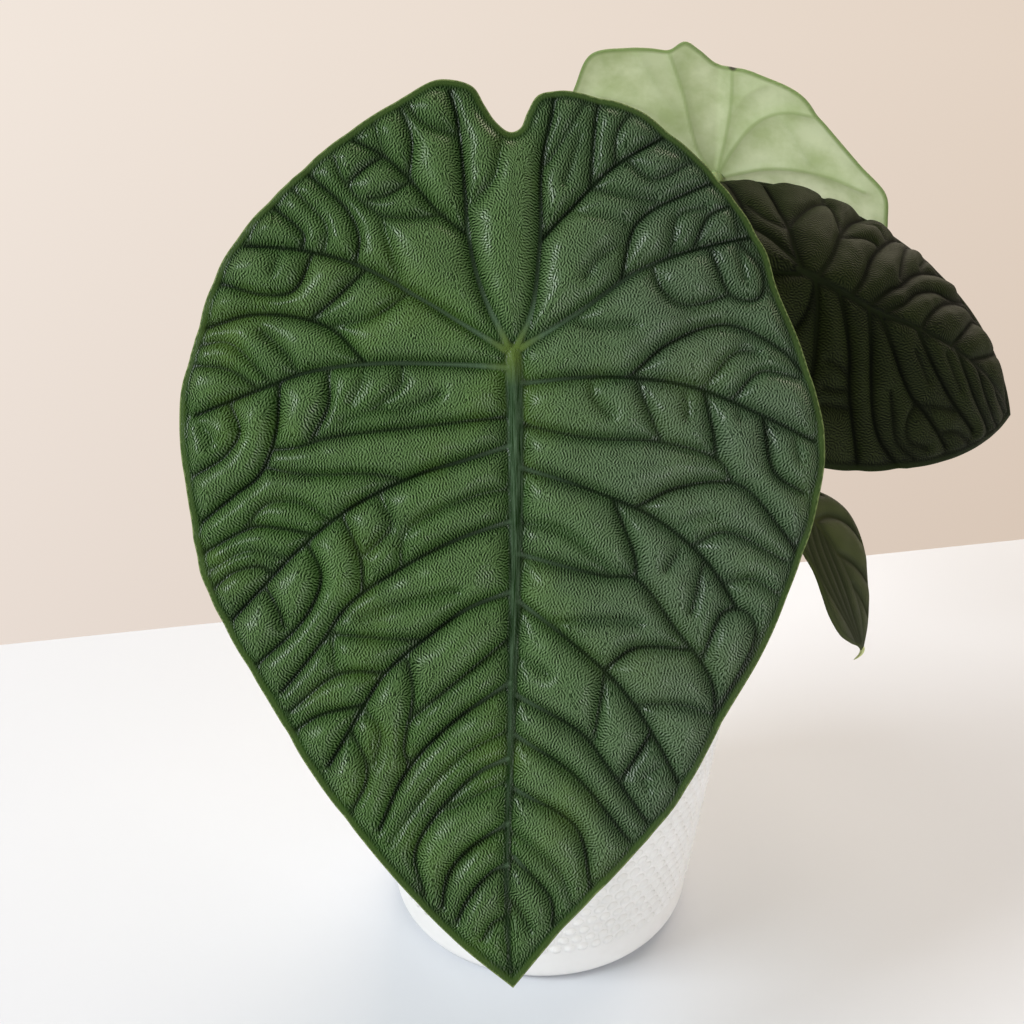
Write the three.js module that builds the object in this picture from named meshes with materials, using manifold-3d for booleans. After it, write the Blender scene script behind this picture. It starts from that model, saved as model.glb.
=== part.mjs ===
// A potted alocasia: four leaves on bare stalks that grow from a short rootstock.
// The plant stands in soil in a thin plastic nursery pot, inside a white ceramic cover pot.
// Millimetres, +Z up.  The origin is the middle of the cover pot's underside.
// The largest leaf hangs down over the front of the pot, towards -Y.
import * as THREE from "three";
import { mergeVertices } from "three/addons/utils/BufferGeometryUtils.js";
import Module from "manifold-3d";

// ---------------------------------------------------------------- driving dimensions

const GAP = 0.3; // between pieces that touch

const POT_HEIGHT = 110;
const POT_BASE_RADIUS = 49; // where the sloping wall would meet the floor
const POT_TOP_RADIUS = 61.9;
const POT_WALL = 4;
const POT_FLOOR = 6;
const POT_FOOT_ROUND = 5.5;
const POT_INSIDE_ROUND = 4;
const POT_SEGMENTS = 56;

const NURSERY_BASE_RADIUS = 41;
const NURSERY_TOP_RADIUS = 53.5;
const NURSERY_TOP = 102; // height of its rim above the floor
const NURSERY_WALL = 1.2;
const NURSERY_FLOOR = 1.6;
const NURSERY_LIP = 2.2; // how far the rim stands out, and how deep it is
const DRAIN_HOLES = 5;
const DRAIN_HOLE_RADIUS = 4;
const DRAIN_HOLE_CIRCLE = 27;
const NURSERY_SEGMENTS = 48;

const SOIL_EDGE = 91; // height of the soil at the nursery pot's wall
const SOIL_CROWN = 95; // and at the rootstock
const SOIL_SEGMENTS = 48;

const ROOTSTOCK_TOP = 104;
const ROOTSTOCK_BOTTOM = 70;
const ROOTSTOCK_RADIUS = 13.5;

const BLADE_THICKNESS = 1.2;
const BLADE_RIM_POINTS = { front: 60, back: 46, right: 46, small: 34 };
const BLADE_RINGS = [0.16, 0.36, 0.56, 0.74, 0.89, 1];

const STALK_SIDES = 12;
const STALK_STEPS = 15;

const SHEATH_THICKNESS = 0.8;
const SHEATH_CLEARANCE = 1; // between the rootstock and a sheath
const SHEATH_STEPS_ROUND = 10;
const SHEATH_STEPS_UP = 5;

// ---------------------------------------------------------------- leaves

// A blade is drawn flat, in millimetres from the point where its stalk joins:
// x runs to the right as its upper face is seen, and y runs back from the tip to the lobes.
// margin goes round from the tip, up the right half, through the notch and down the left half.
// tipward and upper are the midrib's direction and the upper face's normal at the stalk.
// droop is how many degrees the midrib turns down between the stalk and the tip.
// fold lifts each half from the midrib, and curl turns it further, in degrees per 50 mm.
const BLADES = {
  front: {
    junction: [-9.4, -17, 216],
    tipward: [0, -0.6155, -0.788],
    upper: [0, -0.788, 0.6155],
    droop: 8,
    fold: { left: 5, right: 5 },
    curl: { left: -9, right: -9 },
    margin: [
      [0, -176.5], [14, -159.5], [26, -147], [45.5, -124.5], [58.5, -101.5], [69.5, -83],
      [77.5, -64.5], [84, -46.5], [87.5, -25.5], [85, -11.5], [80.5, 2.5], [74, 18],
      [71, 28.5], [64, 40.5], [54, 53], [41, 64.5], [34.5, 69], [19, 73.5],
      [12, 74.5], [7, 73], [4, 68], [2, 63.5], [-1, 62.5], [-5, 65.5],
      [-8, 70], [-11.5, 75.5], [-20.5, 77.5], [-30.5, 72.5], [-49.5, 60], [-65, 46.5],
      [-75, 36], [-83.5, 23], [-90.5, 1], [-93.5, -11], [-93.5, -25.5], [-91, -41.5],
      [-87.5, -61], [-81, -75], [-68, -96.5], [-55, -117.5], [-42, -134.5], [-27, -152],
      [-14.5, -164.5], [0, -176.5],
    ],
  },
  back: {
    junction: [58.8, 117.8, 207.1],
    tipward: [0.05, 0.15, -0.98],
    upper: [0.22, 0.97, 0.1],
    droop: 5,
    fold: { left: -12, right: -6 },
    curl: { left: -5, right: 6 },
    margin: [
      [0, -124], [16, -108], [38, -82], [53, -52], [57, -22], [54, 10],
      [47, 32.5], [41, 45.5], [28.5, 48.5], [16, 49], [10.5, 51.5], [6, 48.5],
      [0, 43.5], [-5, 44], [-14, 42.5], [-28, 38.5], [-38.5, 28], [-49.5, 17.5],
      [-59, 9], [-60.5, -0.5], [-60, -22], [-54, -50], [-38, -82], [-16, -108],
      [0, -124],
    ],
  },
  right: {
    junction: [76, 35.7, 214.7],
    tipward: [0.931, -0.201, -0.305],
    upper: [0.061, -0.738, 0.672],
    droop: 68,
    fold: { left: -3, right: -20 },
    curl: { left: -15, right: -46 },
    margin: [
      [0, -112.5], [8.5, -101.5], [26, -79.5], [40, -53], [49, -29], [50, -8],
      [45.5, 14], [34.5, 33.5], [20, 44], [8, 47], [2, 42], [-1, 39.5],
      [-5, 42.5], [-12, 48.5], [-20, 46], [-34, 36], [-46, 22], [-52.5, 1],
      [-54, -16], [-50, -39], [-40, -62], [-26, -84.5], [-9, -104.5], [0, -112.5],
    ],
  },
  small: {
    junction: [76, -7.7, 157.8],
    tipward: [0.709, -0.444, -0.543],
    upper: [0.442, -0.317, 0.836],
    droop: 57,
    fold: { left: 2, right: -6 },
    curl: { left: 2, right: 0 },
    margin: [
      [0, -53], [3, -48], [7, -40], [10, -33], [14.5, -25.5], [17, -18],
      [17.5, -11.5], [15.5, -5.5], [11, 1], [6, 5.5], [2, 7.5], [0, 6.5],
      [-2, 7.5], [-6, 5], [-10.5, -1], [-13, -9.5], [-14, -16], [-16, -22.5],
      [-17, -29], [-14.5, -37], [-8, -44.5], [-3, -49], [0, -53],
    ],
  },
};

// Each stalk starts on top of the rootstock, at foot, passes through the points of via,
// and turns at its neck to meet the underside of its blade square on.
const STALKS = {
  front: {
    foot: [-6.5, -3.5],
    via: [[-8.5, 1, 135], [-10, 5, 172], [-9.8, 2, 198]],
    neck: 11,
    base_radius: 5.2,
    top_radius: 3.2,
  },
  back: {
    foot: [-1, 7.6],
    via: [[9, 26, 136], [28, 58, 168], [50, 94, 190]],
    neck: 9,
    base_radius: 4.6,
    top_radius: 2.6,
  },
  right: {
    foot: [7, 2.5],
    via: [[18, 9, 136], [40, 22, 168], [63, 36, 192]],
    neck: 9,
    base_radius: 4.6,
    top_radius: 2.6,
  },
  small: {
    foot: [2.8, -7],
    via: [[14, -8, 122], [36, -7, 140], [60, -3, 148]],
    neck: 6,
    base_radius: 3.8,
    top_radius: 1.6,
  },
};

// The dry sheaths of older, shed leaves that still clasp the rootstock.
const SHEATHS = {
  left: { middle: 152, spread: 96, height: 30 },
  front: { middle: 262, spread: 80, height: 21 },
};

// ---------------------------------------------------------------- geometry helpers

const wasm = await Module();
wasm.setup();

const radians = THREE.MathUtils.degToRad;

// Joins coincident vertices, drops triangles that have no area and faces the rest outwards.
function closedBody(geometry) {
  geometry.deleteAttribute("normal");
  geometry.deleteAttribute("uv");
  const merged = mergeVertices(geometry, 1e-3);
  const point = merged.attributes.position;
  const kept = [];
  let volume = 0;
  for (let i = 0; i < merged.index.count; i += 3) {
    const corner = [0, 1, 2].map((k) => merged.index.getX(i + k));
    if (new Set(corner).size < 3) continue;
    const [a, b, c] = corner.map((k) => new THREE.Vector3().fromBufferAttribute(point, k));
    volume += a.dot(b.cross(c));
    kept.push(corner);
  }
  const outward = volume > 0 ? kept : kept.map(([a, b, c]) => [a, c, b]);
  merged.setIndex(outward.flat());
  return merged;
}

function bodyFrom(points, triangles) {
  const geometry = new THREE.BufferGeometry();
  geometry.setFromPoints(points);
  geometry.setIndex(triangles.flat());
  return closedBody(geometry);
}

// Turns a profile of [radius, height] points about the Z axis.
function turned(profile, segments) {
  const points = profile.map(([radius, height]) => new THREE.Vector2(radius, height));
  const geometry = new THREE.LatheGeometry(points, segments);
  geometry.rotateX(Math.PI / 2);
  return closedBody(geometry);
}

// Points of an arc in a profile, from one angle to another in degrees.
function arc(centre, radius, from, to, steps) {
  const points = [];
  for (let i = 0; i <= steps; i += 1) {
    const angle = radians(from + ((to - from) * i) / steps);
    points.push([centre[0] + radius * Math.cos(angle), centre[1] + radius * Math.sin(angle)]);
  }
  return points;
}

function solid(geometry) {
  const mesh = new wasm.Mesh({
    numProp: 3,
    vertProperties: new Float32Array(geometry.attributes.position.array),
    triVerts: new Uint32Array(geometry.index.array),
  });
  return new wasm.Manifold(mesh);
}

// The body with every tool taken out of it.
function cut(body, tools) {
  const left = tools.reduce((rest, tool) => rest.subtract(solid(tool)), solid(body));
  const mesh = left.getMesh();
  const geometry = new THREE.BufferGeometry();
  geometry.setAttribute("position", new THREE.BufferAttribute(mesh.vertProperties, 3));
  geometry.setIndex(new THREE.BufferAttribute(mesh.triVerts, 1));
  return closedBody(geometry);
}

// Joins rings of equally many points into the side of a body; each ring closes on itself.
function ringWalls(ringStarts, sides) {
  const triangles = [];
  for (let r = 0; r + 1 < ringStarts.length; r += 1) {
    for (let i = 0; i < sides; i += 1) {
      const j = (i + 1) % sides;
      const [low, high] = [ringStarts[r], ringStarts[r + 1]];
      triangles.push([low + i, low + j, high + j], [low + i, high + j, high + i]);
    }
  }
  return triangles;
}

function fan(centre, start, sides, turnedOver) {
  const triangles = [];
  for (let i = 0; i < sides; i += 1) {
    const j = (i + 1) % sides;
    triangles.push(turnedOver ? [centre, start + j, start + i] : [centre, start + i, start + j]);
  }
  return triangles;
}

// ---------------------------------------------------------------- cover pot

function potRadius(height) {
  return POT_BASE_RADIUS + ((POT_TOP_RADIUS - POT_BASE_RADIUS) * height) / POT_HEIGHT;
}

function coverPot() {
  const rimRadius = POT_WALL / 2;
  const rimMiddle = potRadius(POT_HEIGHT) - rimRadius;
  const foot = [potRadius(POT_FOOT_ROUND) - POT_FOOT_ROUND, POT_FOOT_ROUND];
  const insideHeight = POT_FLOOR + POT_INSIDE_ROUND;
  const inside = [potRadius(insideHeight) - POT_WALL - POT_INSIDE_ROUND, insideHeight];
  return turned(
    [
      [0, 0],
      ...arc(foot, POT_FOOT_ROUND, -90, 0, 4),
      ...arc([rimMiddle, POT_HEIGHT - rimRadius], rimRadius, 0, 180, 6),
      ...arc(inside, POT_INSIDE_ROUND, 0, -90, 3),
      [0, POT_FLOOR],
    ],
    POT_SEGMENTS,
  );
}

// ---------------------------------------------------------------- nursery pot and soil

const NURSERY_BOTTOM = POT_FLOOR + GAP;
const NURSERY_INSIDE = NURSERY_BOTTOM + NURSERY_FLOOR;

function nurseryRadius(height) {
  const rise = (height - NURSERY_BOTTOM) / (NURSERY_TOP - NURSERY_BOTTOM);
  return NURSERY_BASE_RADIUS + (NURSERY_TOP_RADIUS - NURSERY_BASE_RADIUS) * rise;
}

function nurseryPot() {
  const lipBottom = NURSERY_TOP - NURSERY_LIP;
  const shell = turned(
    [
      [0, NURSERY_BOTTOM],
      [nurseryRadius(NURSERY_BOTTOM), NURSERY_BOTTOM],
      [nurseryRadius(lipBottom), lipBottom],
      [nurseryRadius(lipBottom) + NURSERY_LIP, lipBottom],
      [nurseryRadius(NURSERY_TOP) + NURSERY_LIP, NURSERY_TOP],
      [nurseryRadius(NURSERY_TOP) - NURSERY_WALL, NURSERY_TOP],
      [nurseryRadius(NURSERY_INSIDE) - NURSERY_WALL, NURSERY_INSIDE],
      [0, NURSERY_INSIDE],
    ],
    NURSERY_SEGMENTS,
  );
  const holes = [];
  for (let i = 0; i < DRAIN_HOLES; i += 1) {
    const angle = (2 * Math.PI * i) / DRAIN_HOLES;
    const hole = new THREE.CylinderGeometry(DRAIN_HOLE_RADIUS, DRAIN_HOLE_RADIUS, 12, 12);
    hole.rotateX(Math.PI / 2);
    hole.translate(
      DRAIN_HOLE_CIRCLE * Math.cos(angle),
      DRAIN_HOLE_CIRCLE * Math.sin(angle),
      NURSERY_BOTTOM,
    );
    holes.push(closedBody(hole));
  }
  return cut(shell, holes);
}

// The rootstock's outline, grown outwards by a clearance.
function rootstockBody(clearance) {
  const height = ROOTSTOCK_TOP - ROOTSTOCK_BOTTOM;
  const middle = ROOTSTOCK_BOTTOM + 0.62 * height;
  const grown = ROOTSTOCK_RADIUS + clearance;
  return turned(
    [
      [0, ROOTSTOCK_BOTTOM - clearance],
      [0.55 * grown, ROOTSTOCK_BOTTOM - clearance],
      [0.88 * grown, ROOTSTOCK_BOTTOM + 0.22 * height],
      [1.04 * grown, middle],
      [1.02 * grown, ROOTSTOCK_TOP - 0.14 * height],
      [0.97 * grown, ROOTSTOCK_TOP + clearance],
      [0, ROOTSTOCK_TOP + clearance],
    ],
    28,
  );
}

function soil() {
  const bottom = NURSERY_INSIDE + GAP;
  const inset = NURSERY_WALL + GAP;
  const edge = nurseryRadius(SOIL_EDGE) - inset;
  const mound = turned(
    [
      [0, bottom],
      [nurseryRadius(bottom) - inset, bottom],
      [edge, SOIL_EDGE],
      [0.72 * edge, SOIL_EDGE + 0.55 * (SOIL_CROWN - SOIL_EDGE)],
      [0.4 * edge, SOIL_CROWN],
      [0, SOIL_CROWN],
    ],
    SOIL_SEGMENTS,
  );
  return cut(mound, [rootstockBody(GAP)]);
}

// ---------------------------------------------------------------- blades

// The frame of a blade at its stalk: tipward, upper and across, at right angles.
function bladeFrame(blade) {
  const tipward = new THREE.Vector3(...blade.tipward).normalize();
  const upper = new THREE.Vector3(...blade.upper);
  upper.addScaledVector(tipward, -upper.dot(tipward)).normalize();
  const across = new THREE.Vector3().crossVectors(upper, tipward);
  return { tipward, upper, across };
}

// Where a point of the flat blade lies once the blade is drooped, folded and curled.
function bladePoint(blade, frame, x, y) {
  const reach = -blade.margin[0][1];
  const bend = radians(blade.droop) / reach;
  const turn = -y * bend;
  const along = Math.sin(turn) / bend;
  const fall = (1 - Math.cos(turn)) / bend;
  const side = x > 0 ? "right" : "left";
  const fold = radians(blade.fold[side]);
  const curl = radians(blade.curl[side]) / 50 || 1e-9;
  const end = fold + curl * Math.abs(x);
  const across = (Math.sin(end) - Math.sin(fold)) / curl;
  const rise = (Math.cos(fold) - Math.cos(end)) / curl;
  return new THREE.Vector3(...blade.junction)
    .addScaledVector(frame.tipward, along + rise * Math.sin(turn))
    .addScaledVector(frame.upper, rise * Math.cos(turn) - fall)
    .addScaledVector(frame.across, Math.sign(x) * across);
}

function bladeNormal(blade, frame, x, y) {
  const step = 0.5;
  const across = bladePoint(blade, frame, x + step, y);
  across.sub(bladePoint(blade, frame, x - step, y));
  const back = bladePoint(blade, frame, x, y + step);
  back.sub(bladePoint(blade, frame, x, y - step));
  return across.cross(back).normalize();
}

function bladeBody(blade, rimPoints) {
  const frame = bladeFrame(blade);
  const corners = blade.margin.map(([x, y]) => new THREE.Vector3(x, y, 0));
  const margin = new THREE.CatmullRomCurve3(corners, false, "centripetal");
  const rim = margin.getSpacedPoints(rimPoints).slice(0, rimPoints);
  const points = [];
  const place = (x, y, offset) => {
    const normal = bladeNormal(blade, frame, x, y);
    points.push(bladePoint(blade, frame, x, y).addScaledVector(normal, offset));
  };
  const triangles = [];
  const ringStarts = [];
  const layer = (offset, rings) => {
    for (const size of rings) {
      ringStarts.push(points.length);
      for (const point of rim) place(size * point.x, size * point.y, offset);
    }
  };
  place(0, 0, BLADE_THICKNESS / 2);
  place(0, 0, -BLADE_THICKNESS / 2);
  layer(BLADE_THICKNESS / 2, BLADE_RINGS);
  layer(-BLADE_THICKNESS / 2, [...BLADE_RINGS].reverse());
  triangles.push(...fan(0, ringStarts[0], rimPoints, false));
  triangles.push(...ringWalls(ringStarts, rimPoints).map(([a, b, c]) => [a, c, b]));
  triangles.push(...fan(1, ringStarts.at(-1), rimPoints, true));
  return bodyFrom(points, triangles);
}

// ---------------------------------------------------------------- stalks

// A round tube along a smooth path, from one radius to another, with flat ends.
function taperedTube(path, startRadius, endRadius) {
  const curve = new THREE.CatmullRomCurve3(path, false, "centripetal");
  const frames = curve.computeFrenetFrames(STALK_STEPS, false);
  const points = [];
  const ringStarts = [];
  for (let i = 0; i <= STALK_STEPS; i += 1) {
    const share = i / STALK_STEPS;
    const radius = startRadius + (endRadius - startRadius) * Math.sqrt(share);
    const centre = curve.getPointAt(share);
    ringStarts.push(points.length);
    for (let k = 0; k < STALK_SIDES; k += 1) {
      const angle = (2 * Math.PI * k) / STALK_SIDES;
      const point = centre.clone();
      point.addScaledVector(frames.normals[i], radius * Math.cos(angle));
      point.addScaledVector(frames.binormals[i], radius * Math.sin(angle));
      points.push(point);
    }
  }
  const startCentre = points.push(curve.getPointAt(0)) - 1;
  const endCentre = points.push(curve.getPointAt(1)) - 1;
  return bodyFrom(points, [
    ...fan(startCentre, ringStarts[0], STALK_SIDES, true),
    ...ringWalls(ringStarts, STALK_SIDES),
    ...fan(endCentre, ringStarts.at(-1), STALK_SIDES, false),
  ]);
}

// The neck ends under the blade, far enough down to clear the fold of both halves.
function stalkPath(stalk, blade) {
  const { upper } = bladeFrame(blade);
  const junction = new THREE.Vector3(...blade.junction);
  const fold = Math.max(0, -blade.fold.left, -blade.fold.right);
  const sink = BLADE_THICKNESS / 2 + GAP + 1.2 * stalk.top_radius * Math.tan(radians(fold));
  const foot = new THREE.Vector3(...stalk.foot, ROOTSTOCK_TOP + GAP);
  return [
    foot,
    foot.clone().setZ(foot.z + 6),
    ...stalk.via.map((point) => new THREE.Vector3(...point)),
    junction.clone().addScaledVector(upper, -sink - stalk.neck),
    junction.clone().addScaledVector(upper, -sink - stalk.neck / 2),
    junction.clone().addScaledVector(upper, -sink),
  ];
}

// ---------------------------------------------------------------- sheaths

// A thin pointed scale that stands round part of the rootstock, on the soil.
function sheathBody({ middle, spread, height }) {
  const bottom = SOIL_CROWN + GAP;
  const inner = 1.04 * ROOTSTOCK_RADIUS + SHEATH_CLEARANCE;
  const points = [];
  const columns = SHEATH_STEPS_ROUND + 1;
  const rows = SHEATH_STEPS_UP + 1;
  const lean = 0.09;
  for (const offset of [0, SHEATH_THICKNESS]) {
    for (let i = 0; i < columns; i += 1) {
      const share = (2 * i) / SHEATH_STEPS_ROUND - 1;
      const angle = radians(middle + (share * spread) / 2);
      const top = height * (1 - 0.75 * share * share);
      for (let k = 0; k < rows; k += 1) {
        const rise = (top * k) / SHEATH_STEPS_UP;
        const radius = inner + offset + lean * rise;
        points.push(
          new THREE.Vector3(radius * Math.cos(angle), radius * Math.sin(angle), bottom + rise),
        );
      }
    }
  }
  const at = (side, i, k) => side * columns * rows + i * rows + k;
  const triangles = [];
  const quad = (a, b, c, d) => triangles.push([a, b, c], [a, c, d]);
  for (let i = 0; i + 1 < columns; i += 1) {
    for (let k = 0; k + 1 < rows; k += 1) {
      quad(at(1, i, k), at(1, i + 1, k), at(1, i + 1, k + 1), at(1, i, k + 1));
      quad(at(0, i, k), at(0, i, k + 1), at(0, i + 1, k + 1), at(0, i + 1, k));
    }
    quad(at(0, i, 0), at(0, i + 1, 0), at(1, i + 1, 0), at(1, i, 0));
    const last = rows - 1;
    quad(at(0, i, last), at(1, i, last), at(1, i + 1, last), at(0, i + 1, last));
  }
  for (let k = 0; k + 1 < rows; k += 1) {
    const end = columns - 1;
    quad(at(0, 0, k), at(1, 0, k), at(1, 0, k + 1), at(0, 0, k + 1));
    quad(at(0, end, k), at(0, end, k + 1), at(1, end, k + 1), at(1, end, k));
  }
  return bodyFrom(points, triangles);
}

// ---------------------------------------------------------------- materials

function finish(color, roughness, metalness = 0) {
  return new THREE.MeshStandardMaterial({ color, roughness, metalness });
}

const FINISHES = {
  ceramic: finish(0xe9e9e6, 0.35),
  plastic: finish(0x2b2523, 0.55),
  soil: finish(0x3a2a1e, 0.95),
  rootstock: finish(0x6b5a3c, 0.85),
  sheath: finish(0x8a6b45, 0.8),
  stalk: finish(0x7f8f55, 0.5),
  front: finish(0x3b5236, 0.45),
  back: finish(0xb4bf99, 0.5),
  right: finish(0x2a3020, 0.5),
  small: finish(0x33391f, 0.5),
};

// ---------------------------------------------------------------- assembly

const plant = new THREE.Group();

function add(name, geometry, material) {
  const mesh = new THREE.Mesh(geometry, material);
  mesh.name = name;
  plant.add(mesh);
}

add("cover_pot", coverPot(), FINISHES.ceramic);
add("nursery_pot", nurseryPot(), FINISHES.plastic);
add("soil", soil(), FINISHES.soil);
add("rootstock", rootstockBody(0), FINISHES.rootstock);
for (const [name, sheath] of Object.entries(SHEATHS)) {
  add(`old_sheath_${name}`, sheathBody(sheath), FINISHES.sheath);
}
for (const [name, blade] of Object.entries(BLADES)) {
  const stalk = STALKS[name];
  const path = stalkPath(stalk, blade);
  add(`petiole_${name}`, taperedTube(path, stalk.base_radius, stalk.top_radius), FINISHES.stalk);
  add(`blade_${name}`, bladeBody(blade, BLADE_RIM_POINTS[name]), FINISHES[name]);
}

export default plant;
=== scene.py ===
# %% [markdown]
# # A potted alocasia, built step by step
# The plant has four leaves on bare stalks.  It grows in a thin nursery pot, which stands inside a
# white studded cover pot.  What makes it recognisable is the relief of its leaves: every panel
# between two veins swells like a small cushion, and a fine grain of ridges runs over it.  Most of
# this lesson is therefore about making that relief by rule, from a drawing of the veins.
#
# First come the tools.  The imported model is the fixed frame: its boxes give the sizes to keep to.

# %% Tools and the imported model
import math

import bmesh
import bpy
import numpy as np
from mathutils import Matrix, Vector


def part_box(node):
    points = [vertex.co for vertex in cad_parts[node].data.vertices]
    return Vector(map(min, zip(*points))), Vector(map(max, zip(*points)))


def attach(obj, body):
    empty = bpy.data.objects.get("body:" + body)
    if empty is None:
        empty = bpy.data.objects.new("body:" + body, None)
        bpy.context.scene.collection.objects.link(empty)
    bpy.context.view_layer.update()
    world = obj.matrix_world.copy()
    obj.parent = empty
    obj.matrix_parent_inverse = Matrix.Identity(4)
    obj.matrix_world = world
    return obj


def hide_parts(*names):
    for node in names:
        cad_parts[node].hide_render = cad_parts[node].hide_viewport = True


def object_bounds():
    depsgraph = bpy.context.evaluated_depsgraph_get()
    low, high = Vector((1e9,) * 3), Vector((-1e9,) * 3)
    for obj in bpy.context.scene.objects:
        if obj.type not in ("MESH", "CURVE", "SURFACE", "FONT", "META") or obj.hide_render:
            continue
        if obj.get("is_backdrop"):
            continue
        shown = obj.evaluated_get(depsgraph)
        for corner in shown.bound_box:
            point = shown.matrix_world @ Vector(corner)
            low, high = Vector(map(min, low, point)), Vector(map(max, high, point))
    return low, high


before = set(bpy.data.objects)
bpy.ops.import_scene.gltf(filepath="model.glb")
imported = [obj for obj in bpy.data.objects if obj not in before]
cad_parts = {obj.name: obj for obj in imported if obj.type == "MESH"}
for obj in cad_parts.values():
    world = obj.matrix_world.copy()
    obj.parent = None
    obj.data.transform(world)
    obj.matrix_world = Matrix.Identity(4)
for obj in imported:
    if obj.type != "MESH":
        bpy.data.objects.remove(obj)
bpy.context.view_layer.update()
MM = 0.001
rng = np.random.default_rng(7)

# %% [markdown]
# ## Writing nodes as sums
# A shader is arithmetic on sockets.  Wiring Math nodes by hand hides that arithmetic, so a small
# class wraps a socket and makes a node for each operator: `0.4 + 0.2 * noise` then builds two Math
# nodes.  Colours go through Mix nodes, because a Math node would turn them grey.  The same two
# classes serve for the Geometry Nodes trees and for the light of the room.

# %% A socket that can be added and multiplied
class Wire:
    """One output socket of a node tree, with arithmetic."""

    def __init__(self, tree, socket):
        self.tree, self.socket = tree, socket

    def __add__(self, other):
        return self.tree.maths("ADD", self, other)

    def __mul__(self, other):
        return self.tree.maths("MULTIPLY", self, other)

    def __sub__(self, other):
        return self.tree.maths("SUBTRACT", self, other)

    def __rsub__(self, other):
        return self.tree.maths("SUBTRACT", other, self)

    def __truediv__(self, other):
        return self.tree.maths("DIVIDE", self, other)

    __radd__ = __add__
    __rmul__ = __mul__

    def clamped(self):
        """The value kept between 0 and 1."""
        return self.tree.maths("MULTIPLY", self, 1.0, clamp=True)


class Nodes:
    """A node tree under construction."""

    def __init__(self, tree):
        self.nodes, self.links = tree.nodes, tree.links

    def plug(self, socket, value):
        """Links a wire to a socket, or sets a plain value on it."""
        if isinstance(value, Wire):
            self.links.new(value.socket, socket)
        else:
            socket.default_value = value

    def node(self, kind, settings=None, values=None, output=0):
        """Any node: its settings are set first, then its sockets are set or linked."""
        made = self.nodes.new(kind)
        for key, value in (settings or {}).items():
            setattr(made, key, value)
        for key, value in (values or {}).items():
            self.plug(made.inputs[key], value)
        return Wire(self, made.outputs[output])

    def maths(self, operation, *values, clamp=False):
        settings = {"operation": operation, "use_clamp": clamp}
        return self.node("ShaderNodeMath", settings, dict(enumerate(values)))

    def vector(self, x, y, z):
        """Three numbers as one vector."""
        return self.node("ShaderNodeCombineXYZ", {}, {0: x, 1: y, 2: z})

    def part(self, vector, axis):
        """One of a vector's three numbers."""
        return self.node("ShaderNodeSeparateXYZ", {}, {0: vector}, output=axis)

    def measure(self, operation, *vectors):
        """The length of a vector, or the distance between two."""
        values = dict(enumerate(vectors))
        return self.node("ShaderNodeVectorMath", {"operation": operation}, values, output=1)

    def steps(self, value, low, high):
        """0 below low, 1 above high and a straight line between them."""
        return self.node("ShaderNodeMapRange", {}, {0: value, 1: low, 2: high, 3: 0.0, 4: 1.0})

    def blend(self, factor, first, second):
        """A colour between two colours."""
        settings = {"data_type": "RGBA"}
        first, second = (v if isinstance(v, Wire) else (*v, 1) for v in (first, second))
        return self.node("ShaderNodeMix", settings, {0: factor, 6: first, 7: second}, output=2)


# %% [markdown]
# A material is such a tree with a shader at its end.  Every finish below is written with the same
# few words: a number kept on the mesh, a noise, a bump, and `finish`, which sets the shader.

# %% A material under construction
class Finish(Nodes):
    def __init__(self, name):
        self.material = bpy.data.materials.new(name)
        self.material.use_nodes = True
        super().__init__(self.material.node_tree)
        self.shader = self.nodes["Principled BSDF"]

    def attribute(self, name):
        """A number that the mesh carries for each of its points."""
        return self.node("ShaderNodeAttribute", {"attribute_name": name}, output="Fac")

    def place(self, stretch=None):
        """The place on the object; a stretch draws a noise out into streaks."""
        place = self.node("ShaderNodeTexCoord", output="Object")
        return self.stretched(place, stretch) if stretch else place

    def stretched(self, place, scale):
        return self.node("ShaderNodeMapping", {}, {"Vector": place, "Scale": scale})

    def noise(self, place, scale, detail=3.0, roughness=0.55):
        values = {"Vector": place, "Scale": scale, "Detail": detail, "Roughness": roughness}
        return self.node("ShaderNodeTexNoise", {}, values)

    def bump(self, height, depth_mm):
        """A normal from a height between 0 and 1 that stands for depth_mm."""
        return self.node("ShaderNodeBump", {}, {"Height": height, "Distance": depth_mm * MM})

    def finish(self, **sockets):
        """Sets the shader's sockets; Base_Color stands for Base Color."""
        for key, value in sockets.items():
            socket = self.shader.inputs[key.replace("_", " ")]
            if not isinstance(value, Wire) and socket.type == "RGBA":
                value = (*value, 1)
            self.plug(socket, value)
        return self.material


def tone(red, green, blue):
    """A colour given on the usual 0 to 255 scale, as the linear numbers that shaders use."""
    return tuple(((v / 255 + 0.055) / 1.055) ** 2.4 for v in (red, green, blue))


# %% [markdown]
# ## Pieces made of points
# Nearly every piece here is worked out as an array of points in millimetres and a list of faces.
# Each becomes one smooth mesh with its place in its points.  When it is done it is tied to the
# frame: it rides on the only body, replaces its CAD node and names its material slot.

# %% Making a mesh and handing it over
def in_scene(name, data):
    """A new object in the scene."""
    made = bpy.data.objects.new(name, data)
    bpy.context.scene.collection.objects.link(made)
    return made


def mesh_piece(name, points, faces, numbers=None, smooth=True):
    """An object from points in mm and faces.  numbers are kept on its points, by name."""
    mesh = bpy.data.meshes.new(name)
    mesh.from_pydata((np.asarray(points, float) * MM).tolist(), [], [tuple(f) for f in faces])
    for key, values in (numbers or {}).items():
        layer = mesh.attributes.new(key, "FLOAT", "POINT")
        layer.data.foreach_set("value", np.asarray(values, np.float32))
    if smooth:
        mesh.shade_smooth()
    return in_scene(name, mesh)


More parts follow.
